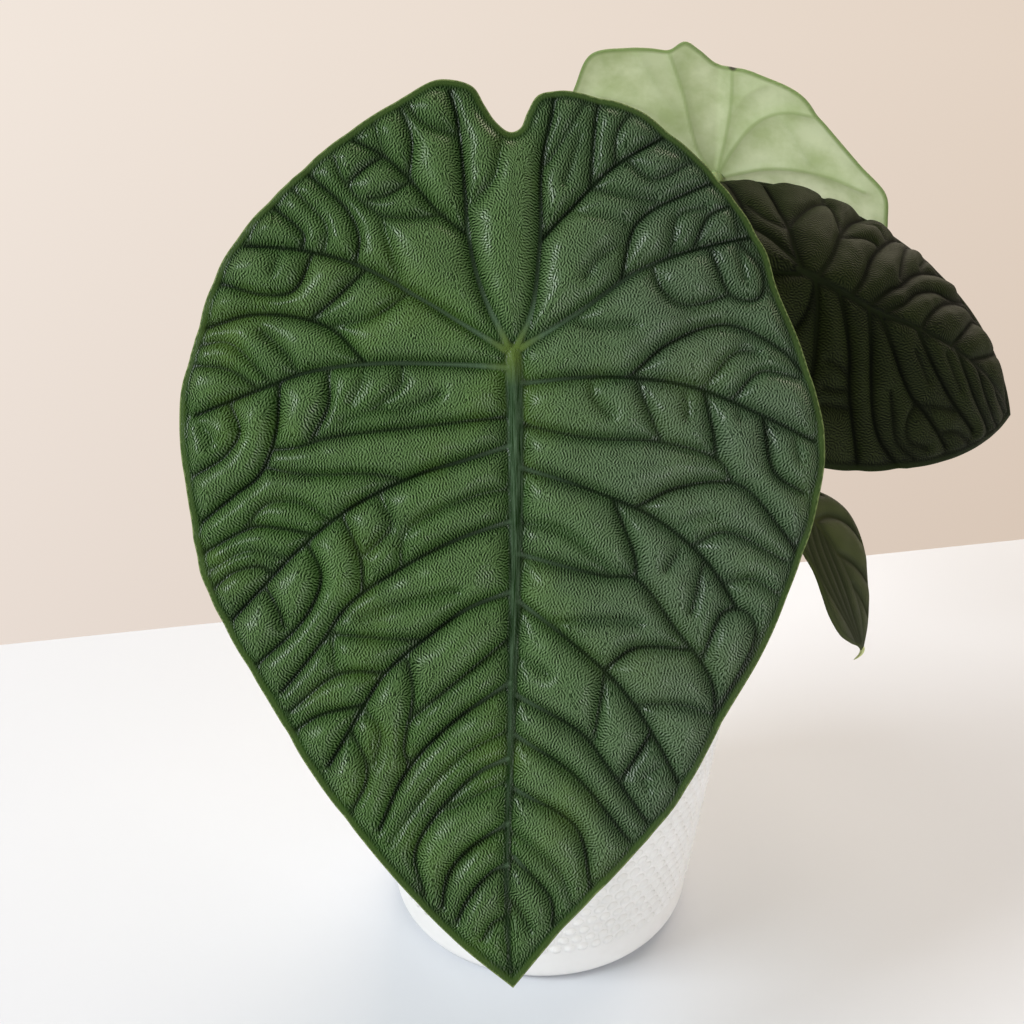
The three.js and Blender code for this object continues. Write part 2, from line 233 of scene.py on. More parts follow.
def closed_piece(name, points, faces, numbers=None):
    """A closed mesh, with every face pointing outwards."""
    piece = mesh_piece(name, points, faces, numbers)
    work = bmesh.new()
    work.from_mesh(piece.data)
    if work.calc_volume(signed=True) < 0:
        bmesh.ops.reverse_faces(work, faces=work.faces)
    open_edges = [edge for edge in work.edges if not edge.is_manifold]
    if open_edges:
        print(name, "has", len(open_edges), "open edges")
    work.to_mesh(piece.data)
    work.free()
    return piece


def hand_over(piece, node, material=None):
    """Ties a finished piece to the frame and says how large it came out."""
    if material:
        piece.data.materials.clear()
        piece.data.materials.append(material)
    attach(piece, "root")
    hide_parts(node)
    piece.data.calc_loop_triangles()
    size = [round(v / MM, 1) for v in piece.dimensions]
    low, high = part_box(node)
    cad = [round(v / MM, 1) for v in high - low]
    print(f"{piece.name}: {size} mm, CAD {cad}, {len(piece.data.loop_triangles)} triangles")


# %% [markdown]
# Three kinds of points come back again and again: a profile turned about the pot's axis, a tube of
# rings, and a smooth curve through a few points.

# %% Turned shapes, tubes and curves
def turned(profile, segments):
    """Points and faces of a [radius, height] profile turned about Z; radius 0 is a pole."""
    points, rows = [], []
    for radius, height in profile:
        if radius == 0:
            rows.append([len(points)] * segments)
            points.append((0, 0, height))
            continue
        rows.append(list(range(len(points), len(points) + segments)))
        for i in range(segments):
            angle = 2 * math.pi * i / segments
            points.append((radius * math.cos(angle), radius * math.sin(angle), height))
    faces = []
    for low, high in zip(rows, rows[1:]):
        for i in range(segments):
            j = (i + 1) % segments
            corners = [low[i], low[j], high[j], high[i]]
            faces.append(list(dict.fromkeys(corners)))
    return points, faces


def tube_faces(rings, sides):
    """Faces of a tube of rings of points, with a cap at both ends."""
    faces = []
    for ring in range(0, (rings - 1) * sides, sides):
        for s in range(sides):
            beside = (s + 1) % sides
            faces.append((ring + s, ring + beside, ring + sides + beside, ring + sides + s))
    faces.append(tuple(range(sides - 1, -1, -1)))
    faces.append(tuple(range((rings - 1) * sides, rings * sides)))
    return faces


def arc(centre, radius, start, end, count):
    """Profile points on an arc, angles in degrees."""
    angles = np.radians(np.linspace(start, end, count))
    return [(centre[0] + radius * math.cos(a), centre[1] + radius * math.sin(a)) for a in angles]


def smooth_line(points, step):
    """A smooth curve through points, sampled about every step mm."""
    p = np.asarray(points, float)
    p = np.vstack([2 * p[0] - p[1], p, 2 * p[-1] - p[-2]])
    made = []
    for a, b, c, d in zip(p, p[1:], p[2:], p[3:]):
        ta, tb, tc = (max(np.linalg.norm(v), 1e-9) ** 0.5 for v in (b - a, c - b, d - c))
        leave = ((b - a) / ta - (c - a) / (ta + tb) + (c - b) / tb) * tb
        reach = ((c - b) / tb - (d - b) / (tb + tc) + (d - c) / tc) * tb
        u = (np.arange(max(1, round(np.linalg.norm(c - b) / step))))[:, None]
        u = u / len(u)
        made.append(
            (2 * u**3 - 3 * u**2 + 1) * b
            + (u**3 - 2 * u**2 + u) * leave
            + (3 * u**2 - 2 * u**3) * c
            + (u**3 - u**2) * reach
        )
    return np.vstack([*made, p[-2][None]])


# %% [markdown]
# ## The four blades, flat
# A blade is drawn flat, in millimetres from the point where its stalk joins: x runs to the right
# as its upper face is seen, and y runs from the tip back to the lobes.  The margin goes from the
# tip up the right half, through the notch and down the left half.  `tipward` and `upper` say how
# the blade is held at its stalk, `droop` how far the midrib turns down on the way to the tip, and
# `fold` and `curl` how each half rises or falls away from the midrib (curl per 50 mm).
# These are the same numbers as the CAD model's, so both have the same leaves.

# %% How each blade is held, and its margin
BLADES = {
    "front": {
        "junction": (-9.4, -17, 216),
        "tipward": (0, -0.6155, -0.788),
        "upper": (0, -0.788, 0.6155),
        "droop": 8,
        "fold": (5, 5),
        "curl": (-9, -9),
        "margin": [
            (0, -176.5), (14, -159.5), (26, -147), (45.5, -124.5), (58.5, -101.5), (69.5, -83),
            (77.5, -64.5), (84, -46.5), (87.5, -25.5), (85, -11.5), (80.5, 2.5), (74, 18),
            (71, 28.5), (64, 40.5), (54, 53), (41, 64.5), (34.5, 69), (19, 73.5), (12, 74.5),
            (7, 73), (4, 68), (2, 63.5), (-1, 62.5), (-5, 65.5), (-8, 70), (-11.5, 75.5),
            (-20.5, 77.5), (-30.5, 72.5), (-49.5, 60), (-65, 46.5), (-75, 36), (-83.5, 23),
            (-90.5, 1), (-93.5, -11), (-93.5, -25.5), (-91, -41.5), (-87.5, -61), (-81, -75),
            (-68, -96.5), (-55, -117.5), (-42, -134.5), (-27, -152), (-14.5, -164.5),
            (0, -176.5),
        ],
    },
    "back": {
        "junction": (58.8, 117.8, 207.1),
        "tipward": (0.05, 0.15, -0.98),
        "upper": (0.22, 0.97, 0.1),
        "droop": 5,
        "fold": (-12, -6),
        "curl": (-5, 6),
        "margin": [
            (0, -124), (16, -108), (38, -82), (53, -52), (57, -22), (54, 10), (47, 32.5),
            (41, 45.5), (28.5, 48.5), (16, 49), (10.5, 51.5), (6, 48.5), (0, 43.5), (-5, 44),
            (-14, 42.5), (-28, 38.5), (-38.5, 28), (-49.5, 17.5), (-59, 9), (-60.5, -0.5),
            (-60, -22), (-54, -50), (-38, -82), (-16, -108), (0, -124),
        ],
    },
    "right": {
        "junction": (76, 35.7, 214.7),
        "tipward": (0.931, -0.201, -0.305),
        "upper": (0.061, -0.738, 0.672),
        "droop": 68,
        "fold": (-3, -20),
        "curl": (-15, -46),
        "margin": [
            (0, -112.5), (8.5, -101.5), (26, -79.5), (40, -53), (49, -29), (50, -8), (45.5, 14),
            (34.5, 33.5), (20, 44), (8, 47), (2, 42), (-1, 39.5), (-5, 42.5), (-12, 48.5),
            (-20, 46), (-34, 36), (-46, 22), (-52.5, 1), (-54, -16), (-50, -39), (-40, -62),
            (-26, -84.5), (-9, -104.5), (0, -112.5),
        ],
    },
    "small": {
        "junction": (76, -7.7, 157.8),
        "tipward": (0.709, -0.444, -0.543),
        "upper": (0.442, -0.317, 0.836),
        "droop": 57,
        "fold": (2, -6),
        "curl": (2, 0),
        "margin": [
            (0, -53), (3, -48), (7, -40), (10, -33), (14.5, -25.5), (17, -18), (17.5, -11.5),
            (15.5, -5.5), (11, 1), (6, 5.5), (2, 7.5), (0, 6.5), (-2, 7.5), (-6, 5),
            (-10.5, -1), (-13, -9.5), (-14, -16), (-16, -22.5), (-17, -29), (-14.5, -37),
            (-8, -44.5), (-3, -49), (0, -53),
        ],
    },
}

# %% [markdown]
# ## Holding a blade in the air
# A leaf bends like a sheet of card: first along its midrib, then each half about the midrib.  One
# function takes flat x and y to the place in the air, so anything drawn on the flat blade, such as
# a vein, is carried along for free.  The surface's direction comes from two short steps on it.

# %% From the flat blade to its place
def blade_axes(blade):
    tipward = np.array(blade["tipward"], float)
    tipward /= np.linalg.norm(tipward)
    upper = np.array(blade["upper"], float)
    upper -= upper.dot(tipward) * tipward
    upper /= np.linalg.norm(upper)
    return tipward, upper, np.cross(upper, tipward)


def blade_place(blade, x, y):
    """Places in mm of the flat points x, y."""
    tipward, upper, across_axis = blade_axes(blade)
    bend = math.radians(blade["droop"]) / -blade["margin"][0][1]
    turn = -y * bend
    along = np.sin(turn) / bend
    fall = (1 - np.cos(turn)) / bend
    fold = np.radians(np.where(x > 0, blade["fold"][1], blade["fold"][0]))
    curl = np.radians(np.where(x > 0, blade["curl"][1], blade["curl"][0])) / 50
    curl = np.where(curl == 0, 1e-9, curl)
    end = fold + curl * np.abs(x)
    across = (np.sin(end) - np.sin(fold)) / curl
    rise = (np.cos(fold) - np.cos(end)) / curl
    return (
        np.array(blade["junction"], float)
        + np.outer(along + rise * np.sin(turn), tipward)
        + np.outer(rise * np.cos(turn) - fall, upper)
        + np.outer(np.sign(x) * across, across_axis)
    )


def blade_upward(blade, x, y, step=1.5):
    """Directions square to the blade's upper face."""
    across = blade_place(blade, x + step, y) - blade_place(blade, x - step, y)
    back = blade_place(blade, x, y + step) - blade_place(blade, x, y - step)
    upward = np.cross(across, back)
    return upward / np.linalg.norm(upward, axis=1)[:, None]


for name, blade in BLADES.items():
    rim = smooth_line(blade["margin"], 3)
    at = blade_place(blade, rim[:, 0], rim[:, 1])
    low, high = (np.array(v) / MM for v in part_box("blade_" + name))

# %% [markdown]
# ## The veins
# Veins are drawn on the flat blade, as a botanist would: the strong laterals leave the midrib, fork
# near the margin and are bridged by weaker cross veins.  Each entry is the vein's strength, from 0
# to 1, and the few points that it passes.  A real leaf isn't symmetrical, so the two halves are
# drawn apart.

# %% The large leaf's veins
MIDRIB = [(0, 0), (0.6, -20), (0.6, -60), (-0.3, -95), (-1, -120), (-1.7, -150), (-0.8, -172)]

LEFT_VEINS = [
    (1.0, (-1.5, 1.5), (-8, 15), (-11.5, 27), (-13, 38), (-14, 50), (-16, 67), (-18, 74)),
    (0.9, (-13, 33), (-20.5, 39), (-28.5, 48), (-36.5, 55.5), (-45, 60)),
    (1.0, (-2.5, 0.5), (-13, 7), (-26, 15), (-43.5, 24.5), (-60, 29), (-75, 30.5)),
    (1.0, (-2, -4.5), (-19.5, -3.5), (-38.5, -3.3), (-57, -5.5), (-70, -10), (-89, -17)),
    (1.0, (-1, -26), (-13, -30), (-26, -34), (-44.5, -43), (-58, -53.5), (-67, -62.5), (-78, -74)),
    (0.9, (-1, -47), (-15.5, -52), (-31, -60), (-45.5, -70), (-53, -80.5), (-64, -94)),
    (1.0, (-1, -66.5), (-12.5, -71), (-24.5, -79.5), (-35, -88.5), (-44, -102.5), (-51, -114.5)),
    (0.7, (-1.5, -79.5), (-9.5, -86), (-17.5, -92.5), (-29, -102)),
    (0.8, (-29, -85.5), (-27.5, -94), (-30, -110), (-29, -113.5)),
    (1.0, (-1, -91.5), (-17.5, -103), (-29.5, -116), (-37, -132)),
    (0.45, (-2, -105), (-12, -110), (-21.5, -118.5), (-34, -135.5)),
    (0.9, (-1.5, -112.5), (-10, -116.5), (-22.5, -129.5), (-27, -138.5), (-24.5, -150)),
    (0.45, (-2, -119), (-12, -123.5), (-18, -126.5)),
    (0.9, (-1.5, -130.5), (-12.5, -137.5), (-18, -144.5), (-19.5, -153.5)),
    (0.9, (-1.5, -142), (-6, -144), (-12, -150.5), (-15.5, -157.5)),
    (0.6, (-1.5, -156.5), (-5.5, -158), (-8.5, -162.5)),
    (0.8, (-1, -18), (-26, -21), (-51, -24), (-60, -26.5), (-67, -27)),
    (0.35, (-20, -12), (-30, -16), (-38.5, -16.5), (-47, -19.5)),
    (0.8, (-51.5, -5), (-51, -14.5), (-55.5, -24)),
    (0.25, (-41.5, -4), (-41.5, -8), (-45, -15)),
    (0.4, (-31, -4), (-31, -9), (-38.5, -16)),
    (1.0, (-65, -9), (-66, -22.5), (-70.5, -34), (-77.5, -39.5), (-87, -47)),
    (0.8, (-79, -14.5), (-76, -22), (-80.5, -29), (-89, -34)),
    (0.3, (-87, -20.5), (-83.5, -24), (-85, -26)),
    (0.7, (-30, -35.5), (-38.5, -34), (-57.5, -34), (-69, -32)),
    (0.6, (-50, -47), (-58.5, -42), (-68, -42), (-75, -49)),
    (0.9, (-55, -50.5), (-63.5, -49), (-72, -48.5), (-87.5, -56)),
    (0.45, (-62.5, -57), (-73.5, -55), (-84.5, -60.5)),
    (0.8, (-66.5, -61.5), (-70, -59.5), (-77.5, -61), (-84, -66)),
    (0.4, (-1, -38), (-11.5, -40.5), (-29.5, -50), (-31, -60)),
    (0.8, (-47, -46), (-42, -57.5), (-41.5, -66)),
    (0.5, (-37, -40), (-33.5, -48), (-40.5, -56)),
    (0.9, (-57, -53), (-53, -62), (-57.5, -73.5), (-71, -86.5)),
    (0.8, (-68.5, -65.5), (-64.5, -72), (-63.5, -76)),
    (0.3, (-15, -66), (-32, -70), (-42, -73.5)),
    (0.7, (-25, -79.5), (-35, -79.2), (-49.5, -78)),
    (0.8, (-35, -88.5), (-48, -89), (-62, -99.5)),
    (0.5, (-50, -78.5), (-49, -88.5)),
    (0.9, (-41.5, -97.5), (-53.5, -100.5), (-61, -105)),
    (0.8, (-45, -104), (-40, -116), (-45, -128)),
    (0.5, (-41.5, -98), (-36.5, -104.5), (-38, -113.5)),
    (0.6, (-15.5, 61), (-25, 64.5), (-30, 70)),
    (0.8, (-29, 49.5), (-28.5, 60), (-32, 69)),
    (0.4, (-36, 56), (-39.5, 66)),
    (0.8, (-36, 55.5), (-41, 52), (-45.5, 48)),
    (0.6, (-50, 54.5), (-47.5, 48.5), (-37, 38.5), (-22, 38), (-19, 39)),
    (0.7, (-28, 48.5), (-35, 44), (-40, 43)),
    (0.9, (-58, 51), (-46.5, 40), (-43, 32), (-44, 24.5)),
    (0.6, (-62, 46.5), (-52, 35), (-53, 28)),
    (0.9, (-67.5, 41.5), (-58.5, 33), (-59, 29.5)),
    (0.4, (-37, 38), (-31.5, 20)),
    (0.8, (-41, 23), (-49, 15), (-55.5, 10)),
    (0.9, (-56, 28), (-61, 17.5), (-69.5, 16.5), (-83.5, 20.5)),
    (1.0, (-87, 7.5), (-71, 11), (-51.5, 7), (-41, -3)),
    (0.5, (-28.5, 16.5), (-38.5, 9.5), (-50.5, 7.5)),
    (0.3, (-64.5, 29.5), (-67, 22)),
    (0.6, (-88.5, 2.5), (-79.5, 3), (-67.5, -8)),
    (0.6, (-70, 6), (-62.5, -1), (-60, -5.5)),
    (0.7, (-90.5, -3), (-79.5, -4.5), (-71.5, -9.5)),
    (0.3, (-3.5, 61), (-5.5, 49), (-10.5, 42)),
]

RIGHT_VEINS = [
    (1.0, (1, 1), (5, 10.5), (7.5, 31), (8, 54), (11, 68), (11.5, 73)),
    (1.0, (7.5, 31), (14.5, 38.5), (28, 52), (42.5, 61)),
    (0.3, (40, 58.5), (48.5, 54)),
    (1.0, (2.5, 1), (17.5, 10.5), (36.5, 23.5), (55, 30), (68, 33)),
    (0.5, (63.5, 31), (61, 40.5)),
    (1.0, (2.5, -8.7), (25, -7), (49, -9.5), (68.5, -17), (84.5, -24.5)),
    (0.9, (32, -7), (43.5, 2.5), (59.5, 7.7), (75, 1), (81, -5)),
    (0.3, (17, 10), (20, 7.5), (34, 7.3)),
    (0.7, (38.5, 24), (41.5, 17), (48, 13), (60.5, 16)),
    (0.8, (54.5, 30), (61, 15.7), (68.5, 15.2), (69.5, 22.5), (63.5, 31)),
    (0.4, (62.5, 30), (64.5, 20.5)),
    (0.9, (30, 20.5), (34.5, 36), (49, 45), (57.5, 48.5)),
    (0.5, (43.5, 27.5), (46, 38), (54, 41)),
    (0.8, (50.5, 30), (54.5, 38), (61, 41.5)),
    (0.5, (21, 46), (36.5, 43), (40, 42.7)),
    (0.2, (17, 39), (28, 37.3), (33, 36)),
    (0.25, (20, 20.5), (24, 26), (30, 30)),
    (0.9, (21.5, 46.5), (23, 64.5), (24, 72)),
    (0.7, (28.5, 52), (29, 61.5), (33, 67.5)),
    (0.5, (9.5, 53), (17, 65), (20.5, 71)),
    (0.35, (14.5, 47), (19, 62)),
    (0.6, (32, 54), (39, 48.5), (50, 53.5)),
    (0.7, (34, -7.5), (37, -15.5), (41, -25)),
    (0.3, (22, -8), (22.3, -12.5), (27.5, -18)),
    (0.3, (48, -10), (48, -18.5)),
    (0.9, (53, -11), (55.5, -23), (56.5, -29.5)),
    (0.2, (62.5, -14.5), (62.7, -19)),
    (0.9, (69.5, -18), (72.5, -33), (81, -39)),
    (0.3, (78.5, -24), (79.5, -30)),
    (0.5, (52.5, -10), (62, 0), (68, 0)),
    (0.7, (61, -13), (68.5, -5.5), (80, -7)),
    (0.8, (2, -20), (20.5, -24), (41.5, -25.3), (57.5, -30.5), (61, -36.5)),
    (1.0, (2, -32), (20.5, -38), (39, -46), (53.5, -58), (62, -71)),
    (0.9, (34, -43), (45.5, -37.7), (63, -37), (74, -48.5), (79, -55)),
    (0.7, (49, -54), (58.5, -50), (75.5, -58)),
    (0.6, (59, -63.5), (66.5, -63), (73, -67)),
    (0.2, (44, -50), (50.5, -46), (57, -45.5)),
    (0.9, (27.5, -41), (33.7, -57.5), (34, -62.5)),
    (0.3, (46, -54.5), (42, -60.5)),
    (0.5, (52.5, -57), (49, -72)),
    (0.4, (2, -47), (14.5, -50), (27.5, -62)),
    (0.9, (1.5, -56), (25, -62), (34, -63), (44, -75.5), (54.5, -90.5), (56, -101)),
    (0.8, (52.5, -84.5), (58, -72), (64.5, -72), (67, -77.5), (57.5, -98)),
    (1.0, (1.5, -69), (14.5, -79), (29.5, -92.5), (40.5, -109), (45.5, -119)),
    (0.9, (25, -88), (33.5, -82), (50, -82.5)),
    (0.6, (33, -97.5), (46.5, -97.5), (55, -100.5)),
    (0.35, (9.5, -75), (28.5, -74.2), (35, -75)),
    (0.7, (25, -89), (22.5, -106.5)),
    (0.9, (38, -105), (30, -118)),
    (0.35, (40.5, -114.5), (36.2, -117.5), (37, -120.5)),
    (0.95, (1, -95), (19, -105.5), (26, -114.5), (37, -130)),
    (0.95, (0.5, -106), (16.5, -116.5), (32, -135)),
    (0.95, (0.5, -121), (17.5, -131.5), (21.5, -148.5)),
    (0.5, (0.5, -133), (13, -144), (16, -152.5)),
    (0.9, (0.3, -140), (10.5, -151.5), (11, -158.5)),
    (0.6, (0.3, -152.5), (4.8, -160)),
    (0.25, (1, -84), (10, -89)),
]
print(len(LEFT_VEINS) + len(RIGHT_VEINS), "veins drawn for the large leaf")

# %% [markdown]
# ## A sheet of even squares inside a margin
# Relief needs points everywhere, evenly spread.  A polar mesh would crowd them at the stalk, so
# the blade is a grid of even squares, cut along the margin.  The stair-stepped edge is then moved
# onto the margin and spaced evenly along it, and the squares beside it are eased into place.

# %% Which squares lie inside a margin
def inside_margin(rim, x, y):
    """True for the points within the closed outline rim."""
    odd = np.zeros(x.shape, bool)
    for (x0, y0), (x1, y1) in zip(rim[:-1], rim[1:]):
        if y0 != y1:
            crosses = (y0 > y) != (y1 > y)
            odd ^= crosses & (x < (x1 - x0) * (y - y0) / (y1 - y0) + x0)
    return odd


def join_corners(kept, rounds=3):
    """Adds squares where two kept ones touch at a corner only."""
    for _ in range(rounds):
        a, b, c, d = kept[:-1, :-1], kept[1:, :-1], kept[:-1, 1:], kept[1:, 1:]
        kept[1:, :-1] |= a & d & ~b & ~c
        a, b, c, d = kept[:-1, :-1], kept[1:, :-1], kept[:-1, 1:], kept[1:, 1:]
        kept[:-1, :-1] |= b & c & ~a & ~d


def edge_loop(kept):
    """Grid points round the kept squares, in order, as (row, column)."""
    follows = {}
    for i, j in zip(*np.nonzero(kept)):
        for beside, start, end in (
            ((i - 1, j), (i, j), (i, j + 1)),
            ((i, j + 1), (i, j + 1), (i + 1, j + 1)),
            ((i + 1, j), (i + 1, j + 1), (i + 1, j)),
            ((i, j - 1), (i + 1, j), (i, j)),
        ):
            if not kept[beside]:
                follows[start] = end
    loop = [next(iter(follows))]
    while follows[loop[-1]] != loop[0]:
        loop.append(follows[loop[-1]])
    return loop


# %% Moving the stair-stepped edge onto the margin
def spaced_on_rim(rim, at, fine_step=0.1, evening_rounds=40):
    """The loop's points at, moved onto the margin in order and spaced evenly along it."""
    length = np.concatenate([[0], np.cumsum(np.linalg.norm(np.diff(rim, axis=0), axis=1))])
    whole = length[-1]
    fine = np.linspace(0, whole, int(whole / fine_step))
    edge = np.stack([np.interp(fine, length, rim[:, axis]) for axis in (0, 1)], 1)
    along = fine[[((edge - point) ** 2).sum(1).argmin() for point in at]]
    along[0] = 0
    half = len(along) // 2
    along[:half] = np.where(along[:half] > whole * 0.8, 0, along[:half])
    along[half:] = np.where(along[half:] < whole * 0.2, whole, along[half:])
    backwards = along[half // 2] > along[-half // 2]
    if backwards:
        along = whole - along
        along[0] = 0
    along = np.maximum.accumulate(np.concatenate([along, [whole]]))
    for _ in range(evening_rounds):
        along[1:-1] = (along[:-2] + along[2:]) / 2
    along = whole - along[:-1] if backwards else along[:-1]
    return [np.interp(along % whole, length, rim[:, axis]) for axis in (0, 1)]


def ease(x, y, kept, rows, columns, depth=4, rounds=30):
    """Spreads the edge's shift over the few rows of points inside it."""
    inner = np.zeros(x.shape, bool)
    inner[1:-1, 1:-1] = kept[:-1, :-1] & kept[1:, :-1] & kept[:-1, 1:] & kept[1:, 1:]
    reached = np.zeros(x.shape, bool)
    reached[rows, columns] = True
    for _ in range(depth):
        wide = reached.copy()
        wide[1:] |= reached[:-1]
        wide[:-1] |= reached[1:]
        wide[:, 1:] |= reached[:, :-1]
        wide[:, :-1] |= reached[:, 1:]
        reached = wide
    free = reached & inner
    for _ in range(rounds):
        for grid in (x, y):
            around = grid.copy()
            around[1:-1, 1:-1] = neighbours(grid) / 4
            grid[free] = around[free]


def neighbours(grid):
    """The sum of each inner point's four neighbours."""
    return grid[:-2, 1:-1] + grid[2:, 1:-1] + grid[1:-1, :-2] + grid[1:-1, 2:]


# %% A grid cut to a margin
def cut_grid(rim, step):
    """Grid coordinates x, y, the squares kept and the loop of points on the margin."""
    low, high = rim.min(0) - 4 * step, rim.max(0) + 4 * step
    x, y = np.meshgrid(np.arange(low[0], high[0], step), np.arange(low[1], high[1], step))
    kept = inside_margin(rim, x[:-1, :-1] + step / 2, y[:-1, :-1] + step / 2)
    join_corners(kept)
    rows, columns = np.array(edge_loop(kept)).T
    start = int(((np.stack([x[rows, columns], y[rows, columns]], 1) - rim[0]) ** 2).sum(1).argmin())
    rows, columns = np.roll(rows, -start), np.roll(columns, -start)
    at = np.stack([x[rows, columns], y[rows, columns]], 1)
    x[rows, columns], y[rows, columns] = spaced_on_rim(rim, at)
    ease(x, y, kept, rows, columns)
    return x, y, kept, list(zip(rows, columns))


# %% [markdown]
# ## Cushions between the veins
# A quilted leaf swells because its blade grows faster than its veins.  A soap film blown up
# between the veins has just that shape, and its height is easy to work out: every grid point is
# drawn to the average of its four neighbours plus a little, and held down on the veins, firmly
# where a vein is strong and loosely where it is weak.  A weak pull on the whole film levels it a
# few millimetres from any vein, so that wide panels don't swell into domes.

# %% Distances to the veins, and the film
def stamp(x, y, lines, width, step):
    """The strongest of strength * exp(-(distance / width)^2) over all lines, on the grid.

    A line may have its own share of the width for each of its points.
    """
    field = np.zeros(x.shape)
    origin = np.array([x[0, 0], y[0, 0]])
    reach = int(2.6 * width / step) + 2
    window = np.arange(-reach, reach + 1)
    for strength, line, *share in lines:
        own = width * np.asarray(share[0] if share else 1.0).reshape(-1, 1, 1)
        cells = np.round((line - origin) / step).astype(int)
        columns = cells[:, 0, None, None] + window[None, None, :] + 0 * window[None, :, None]
        rows = cells[:, 1, None, None] + window[None, :, None] + 0 * window[None, None, :]
        columns = columns.clip(0, x.shape[1] - 1)
        rows = rows.clip(0, x.shape[0] - 1)
        gap2 = (x[rows, columns] - line[:, 0, None, None]) ** 2
        gap2 += (y[rows, columns] - line[:, 1, None, None]) ** 2
        power = np.broadcast_to(np.asarray(strength).reshape(-1, 1, 1), gap2.shape)
        np.maximum.at(field, (rows, columns), power * np.exp(-gap2 / own**2))
    return field


def soap_film(hold, step, spread, turns=800):
    """A film blown up evenly, held down where hold is large and level beyond spread mm."""
    film = np.zeros(hold.shape)
    for _ in range(turns):
        around = np.zeros(hold.shape)
        around[1:-1, 1:-1] = neighbours(film)
        film = (around + step**2) / (4 + (hold + spread**-2) * step**2)
    return film


# %% [markdown]
# ## The grain's direction
# The grain's short ridges run from vein to vein, so they follow the film's slope.  A ridge has no
# front and back end: directions are therefore averaged as double angles, the usual trick for
# lines, which leaves a smooth field that the material can turn its grain by.  Where the
# film is flat, the grain runs along the leaf.

# %% Which way the grain runs
def blurred(field, times):
    for _ in range(times):
        field = field.copy()
        field[1:-1] = (field[:-2] + 2 * field[1:-1] + field[2:]) / 4
        field[:, 1:-1] = (field[:, :-2] + 2 * field[:, 1:-1] + field[:, 2:]) / 4
    return field


def grain_field(film, step):
    """cos and sin of twice the grain's angle, on the grid."""
    down, right = np.gradient(blurred(film, 2), step)
    slope = np.hypot(down, right) + 1e-9
    even = blurred((right**2 - down**2) / slope, 8) - 0.9
    odd = blurred(2 * right * down / slope, 8)
    size = np.hypot(even, odd) + 1e-9
    return even / size, odd / size


# %% [markdown]
# ## A blade with its relief
# The blade is two skins on the same grid, joined along the margin.  The upper skin carries the
# cushions and a fine groove along each vein.  The midrib is a broad rounded band in a shallow
# valley, and sends arms a short way along the veins that leave the stalk's end.  Towards the
# margin everything flattens to a thin, smooth strip.  The lower skin follows from below, with
# each vein raised as a cord, as on the back of a real leaf.
#
# The numbers are heights, depths and widths in mm, unless their note says otherwise.

# %% The relief in numbers
FULL_RELIEF = {
    "cushion": 0.85,  # how much of the film's height the cushions take
    "spread": 3.2,  # distance from a vein at which a cushion is level
    "valley": 1.6,  # depth of the hollow along the midrib and the strong veins
    "groove": 0.2,  # depth of the groove on a vein
    "rib": 3.0,  # height of the midrib above its valley
    "rib_width": 4.6,
    "arms": 0.75,  # the arms' share of the midrib's band
    "cord": 0.5,  # height of a vein on the under face
    "strip": 2.4,  # width of the flat strip at the margin
    "wave": 0.5,  # height of the margin's waves
    "collector": 0.6,  # strength of the vein that runs just inside the margin
    "scallop": 0.5,  # how far a vein draws the margin in
}
STRONG = 0.85  # veins above this strength shape the blade's broad form
JUNCTION_REACH = 9  # a vein that starts this near the stalk's end has an arm
MIDRIB_REACH = 3.1  # a vein that starts this near the midrib has a pale thread
VALLEY_START = 16  # the valleys fade out this near the stalk's end
SCALLOP_CENTRE = -45  # the point of the midrib that the margin is drawn towards
CUSHION_POWER = 0.8  # below 1, it steepens the cushions' sides
HOLD = {"vein": 25, "midrib": 60, "collector": 8, "outside": 500}  # on the soap film
WIDTHS = {
    "hold": 0.6, "collector": 0.7, "groove": 0.8, "thread": 0.8, "cord": 1.3, "pinch": 3.2,
    "side_valley": 5, "valley": 9,
}
HALF_AT_MARGIN, HALF_ADDED = 0.25, 0.35  # half the thickness at the margin, and what it gains


